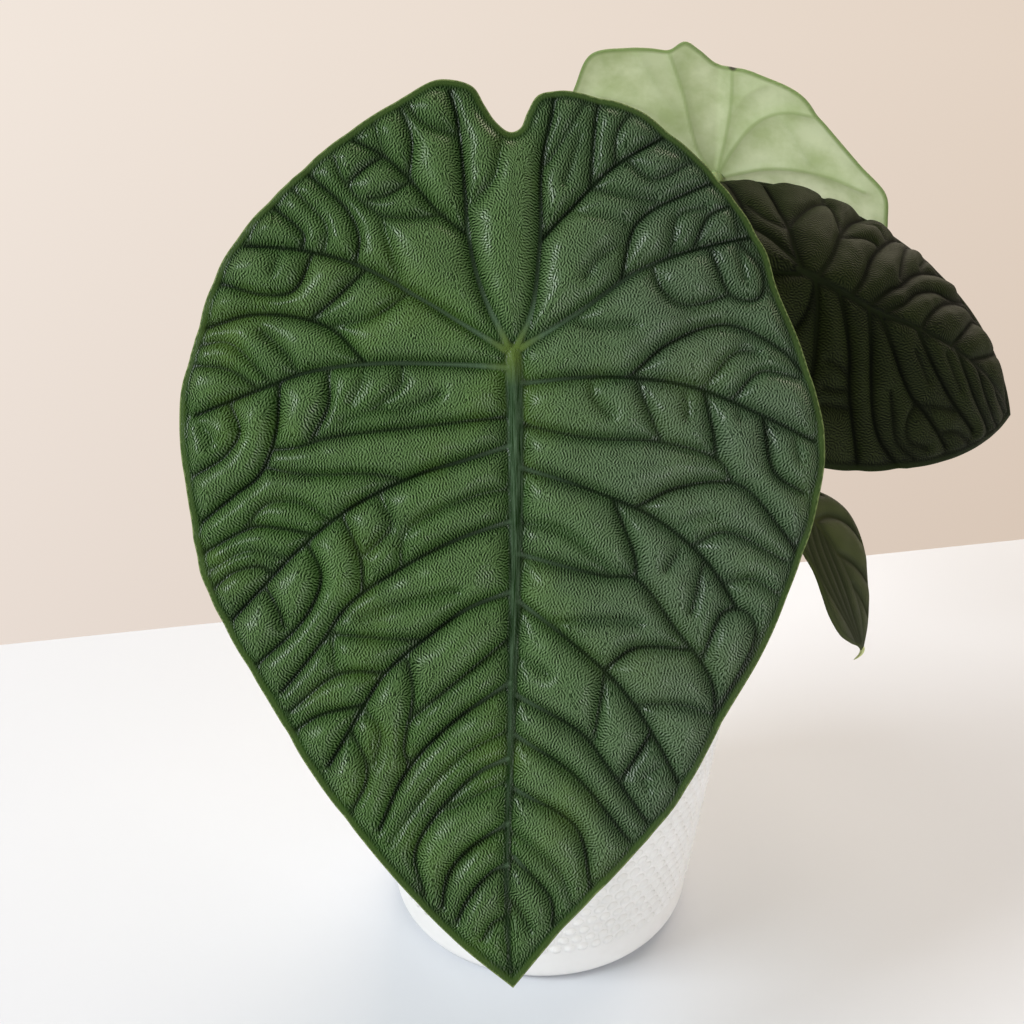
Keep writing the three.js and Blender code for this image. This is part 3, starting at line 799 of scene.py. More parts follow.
# %% Fields drawn from the veins
def relief_fields(blade, outline, veins, midrib, x, y, step, relief):
    """What the relief and the material need, each a field on the even grid x, y."""

    def lay(lines, width):
        return stamp(x, y, lines, width, step)

    lines = [(strength, smooth_line(points, 0.5)) for strength, *points in veins]
    strong = [(strength, line) for strength, line in lines if strength > STRONG]
    rib = smooth_line(midrib, 0.5)
    share = np.linspace(1, 0.12, len(rib))
    slim = 0.25 + 0.75 * share**1.5

    rim = [(1.0, smooth_line(blade["margin"], 0.4))]
    strip = relief["strip"]
    edge = lay(rim, strip)
    from_rim = strip * 2.5 * np.sqrt(-np.log(lay(rim, strip * 2.5).clip(1e-9, 1)))
    off_collector = (from_rim - strip) / WIDTHS["collector"]
    collecting = relief["collector"] * np.exp(-(off_collector**2))

    hold = HOLD["vein"] * lay([(s**1.6, line) for s, line in lines], WIDTHS["hold"])
    hold += HOLD["midrib"] * lay([(1.0, rib, slim)], relief["rib_width"] * 0.36)
    hold += HOLD["collector"] * collecting + HOLD["outside"] * ~inside_margin(outline, x, y)
    film = soap_film(hold, step, relief["spread"])
    even, odd = grain_field(film, step)

    valley = lay([(1.0, rib[::3])], WIDTHS["valley"])
    side_valleys = lay([(s, line[::3]) for s, line in strong], WIDTHS["side_valley"])
    valley = np.maximum(valley, 0.6 * side_valleys)
    valley *= 1 - np.exp(-(x**2 + y**2) / VALLEY_START**2)

    rise = np.minimum(1, 0.75 + np.arange(len(rib)) / 40)
    bands = [(rise * share**0.35, rib, slim)]
    threads = []
    for _, line in strong:
        if np.hypot(*line[0]) < JUNCTION_REACH:
            fade = (1 - np.arange(len(line)) / 90).clip(0, 1)
            bands.append((relief["arms"] * fade**1.5, line, 0.2 + 0.3 * fade))
            threads.append((np.linspace(1, 0.1, len(line)), line))
        if abs(line[0][0]) < MIDRIB_REACH:
            threads.append((np.linspace(0.9, -1.2, len(line)).clip(0), line))
    pinch = lay([(s**2, line) for s, line in lines if s > 0.5], WIDTHS["pinch"])
    return {
        "cushion": film**CUSHION_POWER, "even": even, "odd": odd, "valley": valley,
        "groove": np.maximum(lay(lines, WIDTHS["groove"]), collecting),
        "cord": lay(lines, WIDTHS["cord"]), "midrib": lay(bands, relief["rib_width"] * 0.6),
        "thread": lay(threads, WIDTHS["thread"]), "margin": lay(rim, strip * 0.75),
        "edge": edge, "pull": pinch * edge,
    }


def read_fields(fields, x, y, step, flat_x, flat_y):
    """The fields' values at points that needn't lie on the grid x, y."""
    column = ((flat_x - x[0, 0]) / step).clip(0, x.shape[1] - 1.001)
    row = ((flat_y - y[0, 0]) / step).clip(0, x.shape[0] - 1.001)
    i, j = row.astype(int), column.astype(int)
    u, v = row - i, column - j
    return {
        key: field[i, j] * (1 - u) * (1 - v) + field[i + 1, j] * u * (1 - v)
        + field[i, j + 1] * (1 - u) * v + field[i + 1, j + 1] * u * v
        for key, field in fields.items()
    }


# %% Two skins from the fields
def two_skins(blade, flat_x, flat_y, at, relief):
    """The upper and the lower skin's points; at holds the fields' values at flat_x, flat_y."""
    cushion, rib, lip = at["cushion"], at["midrib"], at["margin"]
    beside_rib = 1 - rib.clip(0, 1)
    height = relief["cushion"] * cushion - relief["groove"] * at["groove"] * beside_rib
    height += relief["rib"] * rib**2
    ripple = np.sin(flat_x / 2.3 + 1.7 * np.sin(flat_y / 5.3))
    ripple *= np.sin(flat_y / 2.9 + 1.3 * np.sin(flat_x / 4.1))
    height += 0.22 * relief["cushion"] * ripple * cushion.clip(0, 1.5) * beside_rib
    height -= relief["valley"] * at["valley"]
    height += relief["wave"] * at["edge"] * np.sin(flat_y / 9 + flat_x / 23)
    height *= 1 - lip
    half = HALF_AT_MARGIN + HALF_ADDED * (1 - lip)
    cord = relief["cord"] * np.maximum(at["cord"], 1.6 * rib) * (1 - 0.8 * lip)

    from_centre = flat_y - SCALLOP_CENTRE
    keep = 1 - relief["scallop"] * at["pull"] / np.hypot(flat_x, from_centre)
    shown_x, shown_y = flat_x * keep, from_centre * keep + SCALLOP_CENTRE
    place = blade_place(blade, shown_x, shown_y)
    upward = blade_upward(blade, shown_x, shown_y)
    top, bottom = height + half, height - half - cord
    return place + upward * top[:, None], place + upward * bottom[:, None]


def coarse_faces(kept, number):
    """Faces of the skin that is seen less: blocks of 2 x 2 squares where they fit."""
    rows, columns = (n // 2 for n in kept.shape)
    fine = kept[: 2 * rows, : 2 * columns]
    block = fine.reshape(rows, 2, columns, 2).all(axis=(1, 3))
    block = np.pad(block, 1)
    single = kept.copy()
    faces = []
    for row, column in zip(*np.nonzero(block[1:-1, 1:-1])):
        i, j = 2 * row, 2 * column
        single[i : i + 2, j : j + 2] = False
        corners = [number[i, j]]
        for beside, middle, corner in (
            ((row, column + 1), (i, j + 1), (i, j + 2)),
            ((row + 1, column + 2), (i + 1, j + 2), (i + 2, j + 2)),
            ((row + 2, column + 1), (i + 2, j + 1), (i + 2, j)),
            ((row + 1, column), (i + 1, j), None),
        ):
            if not block[beside]:
                corners.append(number[middle])
            if corner:
                corners.append(number[corner])
        faces.append(corners)
    return faces + fine_faces(single, number)


def fine_faces(kept, number):
    """One face for each square."""
    i, j = np.nonzero(kept)
    corners = (number[i, j], number[i, j + 1], number[i + 1, j + 1], number[i + 1, j])
    return np.stack(corners, 1).tolist()


# %% From veins to a closed blade
def blade_piece(name, veins, midrib, step, relief, seen_from_below=False):
    """A leaf from its drawing: squares of step mm, twice as large on the side seen less."""
    blade = BLADES[name]
    outline = smooth_line(blade["margin"], 0.6)
    x, y, kept, loop = cut_grid(outline, step)
    grid_x, grid_y = np.meshgrid(
        x[0, 0] + step * np.arange(x.shape[1]), y[0, 0] + step * np.arange(x.shape[0])
    )
    fields = relief_fields(blade, outline, veins, midrib, grid_x, grid_y, step, relief)
    used = np.zeros(x.shape, bool)
    for rows in (slice(None, -1), slice(1, None)):
        for columns in (slice(None, -1), slice(1, None)):
            used[rows, columns] |= kept
    count = int(used.sum())
    number = np.full(x.shape, -1)
    number[used] = np.arange(count)
    flat_x, flat_y = x[used], y[used]
    at = read_fields(fields, grid_x, grid_y, step, flat_x, flat_y)
    points = np.vstack(two_skins(blade, flat_x, flat_y, at, relief))

    above, beneath = fine_faces(kept, number), coarse_faces(kept, number)
    if seen_from_below:
        above, beneath = beneath, above
    ring = [number[corner] for corner in loop]
    faces = above + [[corner + count for corner in face[::-1]] for face in beneath]
    faces += [[a + count, b + count, b, a] for a, b in zip(ring, ring[1:] + ring[:1])]

    kept_numbers = ("groove", "midrib", "margin", "even", "odd", "thread")
    numbers = {key: np.tile(at[key], 2) for key in kept_numbers}
    numbers["cushion"] = np.tile(at["cushion"] * relief["cushion"], 2)
    numbers["flat_x"], numbers["flat_y"] = np.tile(flat_x, 2), np.tile(flat_y, 2)
    numbers["upper"] = np.repeat([1.0, 0.0], count)
    needed = np.unique(np.concatenate([np.array(face) for face in faces]))
    renumbered = np.zeros(len(points), int)
    renumbered[needed] = np.arange(len(needed))
    faces = [renumbered[face] for face in faces]
    numbers = {key: value[needed] for key, value in numbers.items()}
    return closed_piece("leaf_" + name, points[needed], faces, numbers)


leaf_front = blade_piece("front", LEFT_VEINS + RIGHT_VEINS, MIDRIB, 0.66, FULL_RELIEF)

# %% [markdown]
# ## The other leaves
# The other leaves have fewer veins.  The dark one is quilted just as deeply.  The pale one shows
# its underside, where only the strongest veins stand out.  The small leaf has only just opened:
# it is still pleated, with near-parallel folds that follow a rule.

# %% The right, back and small leaves
DARK_MIDRIB = [(0, 0), (-0.6, -8), (-1.1, -18), (-1.8, -27), (-0.2, -40), (1.8, -60), (2, -84),
               (0.8, -106)]
DARK_VEINS = [
    (1.0, (0.9, -0.4), (7.7, 3.3), (15.6, 7.3), (23.4, 12.9), (37, 22)),
    (0.7, (16, 6.7), (21.7, 5), (32.7, 0.1), (37.4, -5), (29.7, -8.4), (23.5, -11)),
    (0.6, (34.9, -2.3), (48, -3.7)),
    (0.5, (18.3, 21.7), (14.8, 14.9), (14, 8.3)),
    (1.0, (0.7, -6.5), (8.8, -8.9), (22.3, -11.1), (33, -15.6), (47, -26)),
    (1.0, (-0.3, -18.4), (6.6, -20.8), (14.6, -22.4), (23, -25.9), (36.5, -36), (43, -45)),
    (0.7, (23.6, -26.9), (26.7, -25.5), (24.2, -18.4), (21.1, -11.9)),
    (0.5, (34, -30.9), (37.9, -28.2), (35.6, -19.7)),
    (1.0, (0, -25.4), (7.9, -30.7), (11.8, -34.7), (20, -41), (26.8, -50), (33, -64)),
    (0.7, (15.2, -34.4), (24.5, -36.6), (37, -44.2), (40, -51)),
    (0.5, (27.4, -46), (37, -55)),
    (0.9, (0, -30.7), (5.4, -36.5), (12.4, -41.7), (18.9, -51.7), (21, -62), (27, -75)),
    (0.9, (0.6, -44.6), (7.6, -48), (16.3, -56.4), (22.4, -69.4), (22, -80)),
    (0.9, (1.8, -59), (9.5, -65.3), (19.1, -76.4), (18.5, -86)),
    (0.8, (2, -70), (6, -77), (14, -92)),
    (0.9, (-1.5, -0.6), (-3.5, 6), (-8, 20), (-12, 44)),
    (0.9, (2, 1), (9, 15), (11, 30), (10, 44)),
    (0.8, (10, 18), (22, 28), (30, 36)),
    (0.8, (-3.5, 6), (-14, 16), (-24, 30), (-30, 38)),
    (0.8, (-1, -6), (-9.8, -7), (-15.5, -6), (-30, 2), (-46, 18)),
    (1.0, (-1, -6), (-6.5, -8.8), (-15.6, -12.3), (-25.5, -15.6), (-52, -20)),
    (1.0, (-1, -14), (-9.6, -20), (-17, -24.7), (-25.8, -29), (-33.2, -34), (-46, -45)),
    (1.0, (-1.5, -25), (-12.9, -30.7), (-22.8, -36), (-30, -41), (-35.6, -47.5), (-40, -60)),
    (0.7, (-21.2, -42.5), (-27.3, -47.3), (-33.6, -54), (-35.2, -65)),
    (1.0, (-1.8, -29), (-9.7, -37.8), (-15, -44), (-19.3, -51.3), (-21.6, -60), (-26, -76)),
    (1.0, (0, -43), (-6, -51.6), (-10, -59.3), (-13.6, -70), (-16, -86)),
    (0.9, (1, -62), (-4.9, -72), (-8.6, -81.4), (-11.5, -95.6)),
    (0.8, (2, -72), (-4, -83.5), (-7, -93.6), (-8, -102)),
    (0.7, (2, -84), (-1.4, -95), (-2, -105)),
    (0.5, (-29.4, -20.8), (-29.2, -23.6), (-27, -29.4)),
    (0.5, (-34.6, -22.7), (-33.3, -27.4), (-32, -32.6)),
    (0.4, (-21.6, -18.5), (-21.8, -22.9), (-23.9, -27.4)),
    (0.5, (-21, -53.5), (-18.5, -60), (-15.3, -71)),
    (0.6, (-20.7, -54.3), (-26, -53.2), (-31.2, -57.6), (-30, -67)),
    (0.6, (-24, -69.3), (-20.6, -75.4), (-19.8, -86)),
    (0.4, (-6.5, -44.6), (-9.8, -49.2), (-13, -54)),
    (0.4, (-2, -57.2), (-5.6, -62.8), (-9, -69)),
]

PALE_VEINS = [
    (1.0, (0, 0), (5.9, 10.3), (8.8, 21), (11, 32), (16, 49)),
    (1.0, (-0.4, 0.5), (-3.5, 18), (-5, 31), (-5, 43)),
    (1.0, (-0.4, 0.5), (-5.9, 12.6), (-11.7, 22.3), (-17.5, 28), (-24, 31), (-33, 32)),
    (1.0, (-0.4, 0), (-10, 4.7), (-18, 8), (-29, 10.2), (-40, 10.2), (-52, 8)),
    (0.4, (2.2, 5.3), (11.7, 16.8), (21, 24.8), (30.3, 28.5), (39, 30.4)),
    (0.4, (7.4, 15.3), (17.4, 31.6), (26.4, 47.4)),
    (0.4, (-4.9, 24.9), (-9.9, 34.2), (-16.4, 39.7)),
    (0.4, (-20.4, 29.3), (-25, 25.5), (-30, 17.6), (-34.7, 12.2)),
    (0.9, (0.4, -2), (20, 4), (40, 8), (53, 8)),
    (0.9, (0.4, -10), (24, -12), (44, -20), (55, -26)),
    (0.9, (-0.4, -10), (-24, -14), (-44, -24), (-58, -30)),
    (0.9, (0.4, -30), (20, -38), (38, -54), (46, -66)),
    (0.9, (-0.4, -32), (-22, -42), (-40, -58), (-47, -66)),
    (0.8, (0.4, -55), (16, -66), (27, -82), (32, -91)),
    (0.8, (-0.4, -57), (-16, -69), (-27, -84), (-32, -92)),
    (0.7, (0.3, -80), (9, -92), (13, -105)),
    (0.7, (-0.3, -82), (-9, -94), (-13, -106)),
]


def pleats(shares):
    """Veins of the small leaf's left half: each keeps its share of the way to the margin."""
    made = []
    for share in shares:
        start = 1 - 16 * (1 - share)
        drop = [start, start - 7, start - 16, start - 27, -48]
        wide = [0.4, 9, 14, 14, 5]
        made.append((0.8, *[(-share * w, y) for w, y in zip(wide, drop)]))
    return made


SMALL_VEINS = pleats((0.3, 0.5, 0.7, 0.88)) + [
    (1.0, (0.3, 3), (6, 3.5), (12, -2)),
    (0.9, (0.3, -6), (7, -8), (13, -14), (15, -22)),
    (0.9, (0.3, -18), (5, -24), (9, -33)),
    (0.8, (0.3, -29), (3, -36), (5, -43)),
    (0.7, (-0.4, 2), (-6, 2.5), (-10, 1)),
]

leaf_right = blade_piece(
    "right", DARK_VEINS, DARK_MIDRIB, 0.6,
    {**FULL_RELIEF, "cushion": 0.5, "valley": 1.5, "rib": 0.0, "rib_width": 2.0, "arms": 0.0},
)
leaf_back = blade_piece(
    "back", PALE_VEINS, [(0, 0), (0.3, -50), (0, -90), (0, -120)], 0.7,
    {**FULL_RELIEF, "cushion": 0.1, "spread": 8, "valley": 0.0, "groove": 0.05, "rib": 0.4,
     "rib_width": 2.8, "arms": 0.0, "cord": 0.1, "wave": 0.0, "collector": 0.0, "scallop": 0.8},
    seen_from_below=True,
)
leaf_small = blade_piece(
    "small", SMALL_VEINS, [(0, 3), (0, -25), (0, -50)], 0.35,
    {**FULL_RELIEF, "cushion": 0.33, "spread": 2.6, "valley": 0.6, "rib": 0.0, "rib_width": 1.2,
     "arms": 0.0, "strip": 1.0, "collector": 0.0, "scallop": 0.0},
)


def drip_tip(rings=9, sides=10):
    """The pale, curved thread, 5 mm long, at the end of the young leaf."""
    start = blade_place(BLADES["small"], np.array([0.0]), np.array([-51.5]))[0]
    points = []
    for t in np.linspace(0, 1, rings):
        centre = start + np.array([1.0 * t - 3.4 * t**2, -2.0 * t, -3.4 * t + 0.4 * t**2])
        radius = 0.75 * (1 - 0.75 * t**2)
        for angle in 2 * math.pi / sides * np.arange(sides):
            points.append(centre + radius * np.array([math.cos(angle), math.sin(angle), 0.3]))
    return closed_piece("leaf_tip", points, tube_faces(rings, sides))


leaf_tip = drip_tip()

# %% [markdown]
# ## Leaf materials
# All four leaves share one recipe with different colours.  The grain is a Gabor pattern: short
# parallel ridges a little under 1 mm apart, whose direction follows the field stored on the mesh.
# It is used three times: as a fine bump, as painted shade in the dips between its ridges and a
# painted highlight on the ridges' tops, and as a thin clear coat on the ridges' tops alone, because
# only they shine.
#
# Body colours are laid over one another from the broadest to the finest: clouds, a yellower patch,
# a greyer half that is painted sheen, a painted highlight on the cushions' tops and the ridges,
# painted shade between the ridges and in the hollows beside the veins, grooves darkened partly by
# their own colour and partly as painted shade, and at last the veins and the margin.

# %% The upper face's colour, layer by layer
def grain_pattern(f, place, grain_mm):
    """The ridges, turned along the mesh's own field."""
    turn = f.maths("ARCTAN2", f.attribute("odd"), f.attribute("even")) * 0.5
    waves = {
        "Vector": place, "Scale": 1 / (2.1 * grain_mm), "Frequency": 2.1, "Anisotropy": 0.52,
        "Orientation": turn + math.pi / 2,
    }
    return f.node("ShaderNodeTexGabor", {}, waves)


def body_colour(f, at, place, colours, ridges, painted_gap_shade, patch):
    """The blade between its veins; patch is how strongly its parts differ."""
    cloud = f.steps(f.noise(place, 0.05, 4.0), 0.38, 0.62)
    body = f.blend(cloud, colours["deep"], colours["mid"])
    yellow = f.steps(f.noise(place, 0.03, 3.0), 0.5, 0.7) * patch
    body = f.blend(yellow, body, tone(78, 102, 16))
    # Painted sheen: the right half, and the highlight colour on it, are made greyer, as a window's
    # reflection on that half makes them look.
    painted_sheen_half = f.steps(at["flat_x"], -5.0, 40.0) * patch
    body = f.blend(painted_sheen_half, body, tone(48, 66, 46))
    body = f.blend(f.steps(at["flat_y"], 0.0, 30.0) * patch, body, colours["deep"])
    # Painted highlight: the cushions' tops and the grain's ridges are made lighter with the light
    # colour, as if lit.
    light = f.blend(painted_sheen_half * 1.6, colours["light"], tone(122, 140, 114))
    painted_crest_highlight = f.steps(at["cushion"], 1.0, 3.4) * 0.2 + ridges * 0.85 - 0.1
    body = f.blend(painted_crest_highlight.clamped(), body, light)
    # Painted shade: the dips between the grain's ridges take the near-black vein colour.
    body = f.blend(painted_gap_shade * 0.95, body, colours["vein"])
    # Painted shade: where the cushions run low beside the veins the blade is darkened, as if
    # shaded.
    body = f.blend((1 - f.steps(at["cushion"], 0.1, 0.8)) * 0.7, body, colours["vein"])
    # The vein grooves are darkened, partly with the veins' own darker colour and partly as painted
    # shade in the crease.
    return f.blend(f.steps(at["groove"], 0.5, 1.0) * 0.6, body, colours["vein"])


def with_ribs(f, at, place, colours, body):
    """The body with its midrib, pale threads and margin laid over it."""
    fibre = f.noise(f.stretched(place, (2.2, 0.1, 1.0)), 1.0, 3.0)
    near_stalk = 1 - f.steps(f.measure("LENGTH", place), 2.0, 10.0)
    band = f.blend(f.steps(fibre, 0.35, 0.65), colours["deep"], colours["rib"])
    band = f.blend(near_stalk, band, colours["rib_end"])
    towards_tip = 0.35 + 0.65 * f.steps(at["flat_y"], -150.0, -20.0)
    body = f.blend(f.steps(at["midrib"], 0.3, 0.6) * towards_tip, body, band)
    thread = f.blend(near_stalk, colours["rib"], colours["rib_end"])
    body = f.blend(f.steps(at["thread"], 0.3, 0.8) * 0.75, body, thread)
    strip = f.blend(0.25, colours["mid"], colours["rim"])
    body = f.blend(f.steps(at["margin"], 0.25, 0.6) * 0.6, body, strip)
    return f.blend(f.steps(at["margin"], 0.9, 0.98), body, colours["rim"])


# %% The under face's colour, and the whole leaf
def under_colour(f, at, place, colours):
    dark, light, vein = colours["under"]
    below = f.blend(f.steps(f.noise(place, 0.07, 5.0), 0.36, 0.62), dark, light)
    # Painted shade: the under face is darkened where its cushions run low beside the veins.
    below = f.blend((1 - f.steps(at["cushion"], 0.0, 1.6)) * 0.45, below, vein)
    below = f.blend(f.steps(at["groove"], 0.3, 0.9) * 0.65, below, vein)
    return f.blend(f.steps(at["margin"], 0.45, 0.9), below, colours["rim"])


def leaf_finish(name, colours, grain_mm=0.85, grain_depth=0.15, shine=0.4, gloss=0.3, coat=0.0,
                patch=0.0, dry_tip=None):
    """shine is the roughness between ridges, gloss the specular level, dry_tip a brown spot."""
    f = Finish(name)
    at = {key: f.attribute(key) for key in
          ("flat_x", "flat_y", "groove", "midrib", "margin", "cushion", "upper", "thread")}
    place = f.vector(at["flat_x"], at["flat_y"], 0.0)
    grain = grain_pattern(f, place, grain_mm)
    smooth = f.steps(at["groove"], 0.6, 1.1) + at["midrib"] * 0.9
    smooth = (smooth + f.steps(at["margin"], 0.1, 0.5) * 0.75).clamped()
    ridges = f.steps(grain, 0.36, 0.78) * (1 - smooth)
    # Painted shade: the dips between the grain's ridges, to be darkened as if shaded.
    painted_gap_shade = (1 - f.steps(grain, 0.16, 0.54)) * (1 - smooth)
    body = body_colour(f, at, place, colours, ridges, painted_gap_shade, patch)
    body = with_ribs(f, at, place, colours, body)
    colour = f.blend(at["upper"], under_colour(f, at, place, colours), body)
    if dry_tip:
        reach = f.measure("DISTANCE", place, (*dry_tip, 0))
        colour = f.blend(1 - f.steps(reach, 0.9, 2.0), colour, tone(58, 52, 38))
    fine = f.steps(f.noise(place, 2.6, 2.0), 0.3, 0.7)
    rough = shine + 0.12 * fine - 0.1 * ridges + 0.25 * f.steps(at["groove"], 0.2, 0.8)
    return f.finish(
        Base_Color=colour, Roughness=rough, Normal=f.bump(ridges * at["upper"], grain_depth),
        Specular_IOR_Level=gloss, Coat_Roughness=0.32,
        Coat_Weight=f.steps(grain, 0.45, 0.8) * (1 - smooth) * at["upper"] * coat,
    )


# %% [markdown]
# Each leaf's colours are named by what they paint; light is the painted highlight on the cushions'
# tops and the grain's ridges, and vein, the darkest, serves also as painted shade in the hollows,
# the creases and between the ridges.  The dark leaf and the young one keep their colours close
# together; the pale one has a brown, dried spot at the end of one lobe.

# %% The four leaves' colours
def palette(under, **upper):
    """Colours by name; under holds the under face's dark, light and vein colours, and the vein
    colour also paints shade beside the veins.
    """
    colours = {key: tone(*value) for key, value in upper.items()}
    return {**colours, "under": [tone(*value) for value in under]}


green_leaf = leaf_finish(
    "green_leaf",
    palette(
        deep=(15, 42, 4), mid=(31, 64, 10), light=(122, 154, 98), vein=(1, 9, 0),
        rib=(80, 102, 76), rib_end=(84, 104, 48), rim=(128, 144, 90),
        under=[(150, 168, 122), (164, 180, 136), (176, 188, 138)],
    ),
    grain_mm=0.78, grain_depth=0.28, shine=0.42, gloss=0.03, coat=1.0, patch=0.5,
)
dark_leaf = leaf_finish(
    "dark_leaf",
    palette(
        deep=(17, 24, 7), mid=(29, 37, 13), light=(56, 62, 34), vein=(4, 6, 1),
        rib=(28, 34, 16), rib_end=(30, 38, 18), rim=(40, 52, 20),
        under=[(96, 60, 70), (112, 74, 80), (70, 84, 52)],
    ),
    shine=0.6, gloss=0.06,
)
pale_leaf = leaf_finish(
    "pale_leaf",
    palette(
        deep=(30, 54, 26), mid=(44, 74, 36), light=(92, 118, 84), vein=(20, 40, 16),
        rib=(80, 100, 60), rib_end=(100, 120, 70), rim=(122, 142, 84),
        under=[(176, 188, 140), (212, 219, 182), (140, 158, 102)],
    ),
    dry_tip=(-5, 44.5),
)
young_leaf = leaf_finish(
    "young_leaf",
    palette(
        deep=(46, 54, 22), mid=(66, 74, 37), light=(90, 98, 60), vein=(26, 31, 11),
        rib=(50, 54, 24), rib_end=(60, 66, 28), rim=(62, 70, 28),
        under=[(120, 130, 90), (132, 140, 100), (140, 150, 100)],
    ),
    grain_mm=0.6, grain_depth=0.05, shine=0.55, gloss=0.15,
)
hand_over(leaf_front, "blade_front", green_leaf)
hand_over(leaf_right, "blade_right", dark_leaf)
hand_over(leaf_back, "blade_back", pale_leaf)
hand_over(leaf_small, "blade_small", young_leaf)
pale_tip = Finish("pale_tip").finish(Base_Color=tone(196, 204, 140), Roughness=0.45)
hand_over(leaf_tip, "blade_small", pale_tip)

# %% [markdown]
# ## The stalks
# Each leaf stands on a bare stalk that leaves the rootstock, arches outwards and turns at its
# neck to meet the underside of the blade.  A stalk is a tube swept along that path.  Its foot is
# wider and hollowed on the inner side, because it clasps the younger stalks, and thin ribs run
# along it.  Its end is a low dome inside the blade's thickness, set lower where the blade's
# halves fall away from the midrib.

# %% Sweeping a stalk along its path
# name: foot on the rootstock, points on the way, length of the neck, radii at foot and blade
STALKS = {
    "front": ((-6.5, -3.5), [(-8.5, 1, 135), (-10, 5, 172), (-9.8, 2, 198)], 11, 5.2, 3.2),
    "back": ((-1, 7.6), [(9, 26, 136), (28, 58, 168), (50, 94, 190)], 9, 4.6, 2.6),
    "right": ((7, 2.5), [(18, 9, 136), (40, 22, 168), (63, 36, 192)], 9, 4.6, 2.6),
    "small": ((2.8, -7), [(14, -8, 122), (36, -7, 140), (60, -3, 148)], 6, 3.8, 1.6),
}
STALK_FOOT = 104.3
STALK_SIDES, STALK_RIBS = 28, 7


def stalk_path(name):
    foot, via, neck, _, top_radius = STALKS[name]
    blade = BLADES[name]
    upper = blade_axes(blade)[1]
    falling = math.radians(max(0, -min(blade["fold"])))
    sink = 1.2 * top_radius * math.tan(falling) - 0.3
    junction = np.array(blade["junction"], float)
    ends = [junction - upper * (sink + part) for part in (neck, neck / 2, 0)]
    path = smooth_line([(*foot, STALK_FOOT), (*foot, STALK_FOOT + 6), *via, *ends], 1.5)
    last_step = path[-1] - path[-2]
    dome = path[-1] + last_step * 0.12 * top_radius / np.linalg.norm(last_step)
    return np.vstack([path, dome])


def stalk_piece(name):
    path = stalk_path(name)
    _, _, _, base_radius, top_radius = STALKS[name]
    ahead = np.gradient(path, axis=0)
    ahead /= np.linalg.norm(ahead, axis=1)[:, None]
    lean = path[-1][:2] / np.linalg.norm(path[-1][:2])
    normal = np.cross(ahead[0], (-lean[1], lean[0], 0.0))
    shares = np.arange(len(path)) / (len(path) - 1)
    points = []
    for share, centre, way in zip(shares, path, ahead):
        normal = normal - normal.dot(way) * way
        normal /= np.linalg.norm(normal)
        side = np.cross(way, normal)
        radius = base_radius + (top_radius - base_radius) * math.sqrt(share)
        radius *= 1 + 0.22 * math.exp(-(((share - 1) / 0.035) ** 2))
        if share == 1:
            radius *= 0.7
        clasp = max(0, 1 - share / 0.24) ** 1.5
        for angle in 2 * math.pi / STALK_SIDES * np.arange(STALK_SIDES):
            out = radius * (1 + 0.025 * math.cos(STALK_RIBS * angle) + 0.03 * clasp)
            out *= 1 - 0.4 * clasp * max(0, math.cos(angle)) ** 2
            points.append(centre + out * (math.cos(angle) * normal + math.sin(angle) * side))
    faces = tube_faces(len(path), STALK_SIDES)
    numbers = {"share": np.repeat(shares, STALK_SIDES)}
    return closed_piece("stalk_" + name, points, faces, numbers)


# %% [markdown]
# The stalk's skin is pale green, mottled with darker streaks along its length, and its foot turns
# paler where it clasps its neighbours.

# %% The stalks' finish
def stalk_finish():
    f = Finish("stalk_skin")
    share = f.attribute("share")
    streak = f.steps(f.noise(f.place((1.0, 1.0, 0.22)), 420.0, 4.0), 0.42, 0.62)
    fleck = f.steps(f.noise(f.place(), 900.0, 2.0), 0.6, 0.72)
    skin = f.blend(streak, tone(112, 134, 74), tone(146, 164, 104))
    skin = f.blend(fleck * 0.5, skin, tone(92, 96, 60))
    skin = f.blend((1 - f.steps(share, 0.0, 0.22)) * 0.6, skin, tone(186, 190, 148))
    skin = f.blend(f.steps(share, 0.85, 1.0) * 0.8, skin, tone(176, 188, 138))
    return f.finish(
        Base_Color=skin, Roughness=0.4 + 0.15 * streak, Normal=f.bump(streak, 0.15),
        Subsurface_Weight=0.12, Subsurface_Scale=0.002,
    )


stalk_skin = stalk_finish()
for name in STALKS:
    hand_over(stalk_piece(name), "petiole_" + name, stalk_skin)

# %% [markdown]
# ## The cover pot
# The cover pot is slip-cast and glazed white.  Its wall is a turned profile: rounded foot, sloping
# side, rounded rim and a hollow inside.  The studs sit in staggered rows above a smooth band.
# They are a textbook case for Geometry Nodes: one small dome, placed some 1500 times by a rule.

# %% The pot's wall
POT_HEIGHT, POT_WALL, POT_FLOOR = 110, 4, 6
POT_BASE_RADIUS, POT_TOP_RADIUS = 49, 61.9
POT_SLOPE = (POT_TOP_RADIUS - POT_BASE_RADIUS) / POT_HEIGHT
FOOT_ROUND, INSIDE_ROUND = 5.5, 4
STUD_RADIUS, STUD_HEIGHT = 2.15, 0.7
STUD_RING = 55.5  # radius of the row whose studs are round; the others widen with the pot
UNDER_STUDS = 0.6  # the wall stands back by this much, and the studs stand on it


def pot_radius(height):
    return POT_BASE_RADIUS + POT_SLOPE * height


